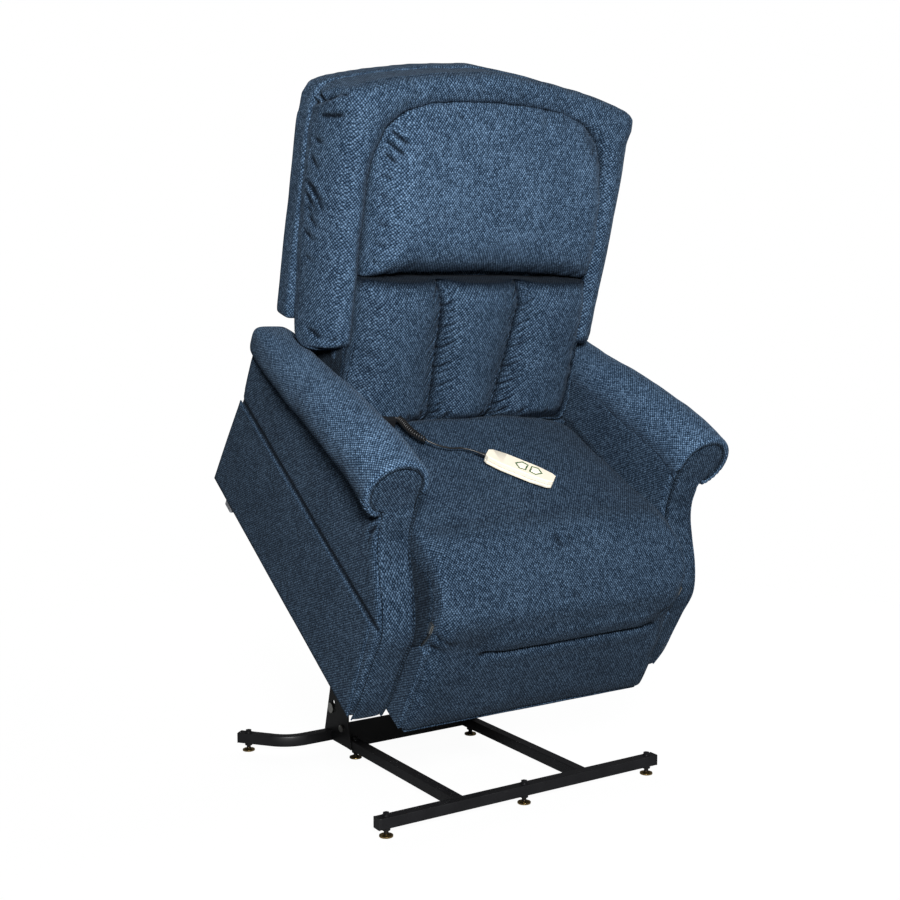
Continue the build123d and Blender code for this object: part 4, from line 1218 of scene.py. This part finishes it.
# painted shade: the legrest's hem takes the darker lower copy of the fabric
cloth_panel("legrest_hem", [(-62, 1.5), (5, 1.5), (5, 30), (2.4, 30), (2.4, 7.4), (-62, 7.4)], 0, -316, 316, "chair", "legrest", FABRIC_LOW, 3.6, 0.3, 13)
for side, sx in (("left", -1), ("right", 1)):
    # painted shade: the seat sides and the arms' inner edges take the much darker copy, and the legrest sides the
    # darker lower copy
    cloth_panel(f"seat_side_{side}", [(-30, 300), (-36, 262), (-26, 226), (-6, 205), (60, 200), (400, 205), (552, 296), (552, 338), (524, 358), (480, 372), (470, 370), (300, 366), (60, 372), (16, 372), (-16, 345)], 0,
                min(sx * 326, sx * 333.4), max(sx * 326, sx * 333.4), "chair", "chair", FABRIC_SHADE, 3.6, 0.3, 7)
    cloth_panel(f"arm_inner_edge_{side}", [(14, 4), (70, 4), (70, 200), (14, 200)], 0, min(sx * 332.6, sx * 344), max(sx * 332.6, sx * 344), "chair", "chair", FABRIC_SHADE, 3.6, 0.2, 11)
    cloth_panel(f"legrest_side_{side}", [(-56, 10), (14, 10), (14, 206), (-4, 226), (-48, 226)], 0, min(sx * 312, sx * 329), max(sx * 312, sx * 329), "chair", "legrest", FABRIC_LOW, 3.6, 0.3, 9)
    arm_roll(side, sx)
    arm_panel(side, sx)
    front_facing(side, sx)
    side_skirt(side, sx)

# ------------------------------------------------------------------ rear panel below the back
V, F = prism_mesh([(795, 7), (805, 7), (782, 384), (772.5, 384)], 0, -334.0, 334.0)
rp = new_mesh("rear_cover", V * 0.001, F)
fix_normals(rp)
voxel(rp, 4.0)
smooth_mod(rp, 3)
P = get_co(rp.data) * 1000
N = get_no(rp.data)
P += N * (0.7 * vnoise(P, 110, 91))[:, None]
set_co(rp.data, P * 0.001)
finish_soft(rp, "chair", FABRIC, "chair", ["rear_panel"])

# ------------------------------------------------------------------ handset: green outlines of the two buttons
DIA = [(-13, 0), (-3, 9.5), (9, 7.5), (9, -7.5), (-3, -9.5)]
for off, nm in ((3.0, "up"), (34.0, "down")):
    flip = 1 if nm == "up" else -1
    o_ = np.array([(off + flip * x * 1.34, y * 1.66) for x, y in DIA])
    i_ = np.array([(off + flip * x * 1.06, y * 1.36) for x, y in DIA])
    n = len(DIA)
    V = []
    for z in (20.05, 20.55):
        V += [(x, y, z) for x, y in o_] + [(x, y, z) for x, y in i_]
    F = []
    for j in range(n):
        k = (j + 1) % n
        F += [(2 * n + j, 2 * n + k, 3 * n + k, 3 * n + j), (j, n + j, n + k, k), (j, k, 2 * n + k, 2 * n + j), (n + j, 3 * n + j, 3 * n + k, n + k)]
    ring = new_mesh(f"button_outline_{nm}", chair(hand(np.array(V, float))), F, smooth=False)
    fix_normals(ring)
    ring.data.materials.append(M_GREEN)
    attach(ring, "chair")

# ------------------------------------------------------------------ CAD nodes that stay: materials, and softened edges
BEVEL = {"base_front_bar": 1.6, "base_rear_bar": 1.4, "base_side_rails": 1.6, "lift_towers": 0.9, "handset_back_shell": 2.6, "handset_front_shell": 1.3,
         "button_up": 0.8, "button_down": 0.8, "tube_end_caps": 0.8, "levelling_foot_discs": 0.8, "levelling_foot_stems": 0.5, "upper_links": 0.8,
         "lower_links": 0.8, "lift_rails": 0.8, "seat_side_boards": 1.2, "seat_cross_boards": 1.2, "back_frame": 1.5, "actuator_gearbox": 2.0,
         "actuator_motor": 1.5, "power_box": 3.0, "rear_glides": 3.0, "legrest_board": 1.5, "cord_grommet": 0.8, "tower_pins_and_bolts": 0.7,
         "lift_frame_pins": 0.7, "arm_mounting_blocks": 1.0}
for nm, ob in NODES.items():
    if ob.hide_render:
        continue
    slot_ = NODE_SLOT.get(nm)
    mat = SLOT_MAT.get(slot_)
    if mat is None and ob.data.materials:
        mat = SLOT_MAT.get(ob.data.materials[0].name.split(".")[0])
    if mat is None:
        print("NO MATERIAL", nm, slot_, [m.name for m in ob.data.materials])
        mat = M_BLACK
    for i in range(max(1, len(ob.material_slots))):
        if i < len(ob.material_slots):
            ob.material_slots[i].link = "OBJECT"
            ob.material_slots[i].material = mat
        else:
            ob.data.materials.append(mat)
    if nm in BEVEL:
        w = ob.modifiers.new("weld", "WELD")
        w.merge_threshold = 0.00002
        bv = ob.modifiers.new("edge", "BEVEL")
        bv.width, bv.segments, bv.limit_method, bv.angle_limit = BEVEL[nm] * 0.001, 2, "ANGLE", math.radians(35)
        bv.harden_normals = False

# ------------------------------------------------------------------ floor, lights
bpy.ops.mesh.primitive_plane_add(size=30, location=(0, 0, 0))
floor = bpy.context.object
floor.name = "floor"
fm, fnt, fb = nt_new("floor_pale")
fb.inputs["Roughness"].default_value = 0.85
fb.inputs["Specular IOR Level"].default_value = 0.1
lp = node(fnt, "ShaderNodeLightPath")
ftc = node(fnt, "ShaderNodeTexCoord")
fno = node(fnt, "ShaderNodeTexNoise")
fno.inputs["Scale"].default_value = 3.0
fnt.links.new(ftc.outputs["Object"], fno.inputs["Vector"])
pale = mixc(fnt, fno.outputs[0], (0.90, 0.90, 0.90), (0.94, 0.94, 0.94))
fcol = mixc(fnt, lp.outputs["Is Camera Ray"], (0.24, 0.245, 0.25), pale)
fnt.links.new(fcol, fb.inputs["Base Color"])
# the sweep is lit evenly, so that only the contact shadow shows
fem = node(fnt, "ShaderNodeEmission")
fem.inputs[0].default_value = (1, 1, 1, 1)
fmx = node(fnt, "ShaderNodeMixShader")
far = node(fnt, "ShaderNodeVectorMath", operation="LENGTH")
fnt.links.new(ftc.outputs["Object"], far.inputs[0])
away = math_n(fnt, "MULTIPLY", math_n(fnt, "SUBTRACT", far.outputs["Value"], 1.1), 0.7, clamp=True)
share = math_n(fnt, "ADD", math_n(fnt, "MULTIPLY", away, 0.032), 0.968, clamp=True)
fnt.links.new(math_n(fnt, "MULTIPLY", lp.outputs["Is Camera Ray"], share), fmx.inputs[0])
fnt.links.new(fb.outputs[0], fmx.inputs[1])
fnt.links.new(fem.outputs[0], fmx.inputs[2])
fout = [n for n in fnt.nodes if n.type == "OUTPUT_MATERIAL"][0]
fnt.links.new(fmx.outputs[0], fout.inputs[0])
floor.data.materials.append(fm)

world = bpy.data.worlds.new("studio")
scene.world = world
world.use_nodes = True
wn = world.node_tree
wn.nodes.clear()
wo = wn.nodes.new("ShaderNodeOutputWorld")
bg1, bg2 = wn.nodes.new("ShaderNodeBackground"), wn.nodes.new("ShaderNodeBackground")
bg1.inputs[0].default_value, bg1.inputs[1].default_value = (1, 1, 1, 1), 0.11
bg2.inputs[0].default_value, bg2.inputs[1].default_value = (1, 1, 1, 1), 1.0
wl = wn.nodes.new("ShaderNodeLightPath")
wm = wn.nodes.new("ShaderNodeMixShader")
wn.links.new(wl.outputs["Is Camera Ray"], wm.inputs[0])
wn.links.new(bg1.outputs[0], wm.inputs[1])
wn.links.new(bg2.outputs[0], wm.inputs[2])
wn.links.new(wm.outputs[0], wo.inputs[0])


def area(name, loc, target, size, power, color=(1, 1, 1)):
    ld = bpy.data.lights.new(name, "AREA")
    ld.shape, ld.size, ld.energy, ld.color = "DISK", size, power, color
    lo = bpy.data.objects.new(name, ld)
    scene.collection.objects.link(lo)
    lo.location = loc
    lo.rotation_euler = (Vector(target) - Vector(loc)).to_track_quat("-Z", "Y").to_euler()
    return lo


area("key", (-1.8, -3.1, 2.05), (0, 0.1, 0.9), 0.9, 270)
area("fill", (2.6, -2.2, 1.6), (0, 0, 0.8), 2.0, 6)
side_light = area("side", (3.4, 0.9, 1.5), (0, 0.2, 0.8), 2.0, 80)
rear_light = area("rear", (0.9, 3.7, 1.6), (0, 0.3, 0.8), 2.0, 105)

for lamp in (side_light, rear_light):      # they lift the shade without glare on the black steel
    lamp.visible_glossy = False

scene.view_settings.view_transform = "Standard"
scene.view_settings.look = "None"
scene.view_settings.gamma = 0.86
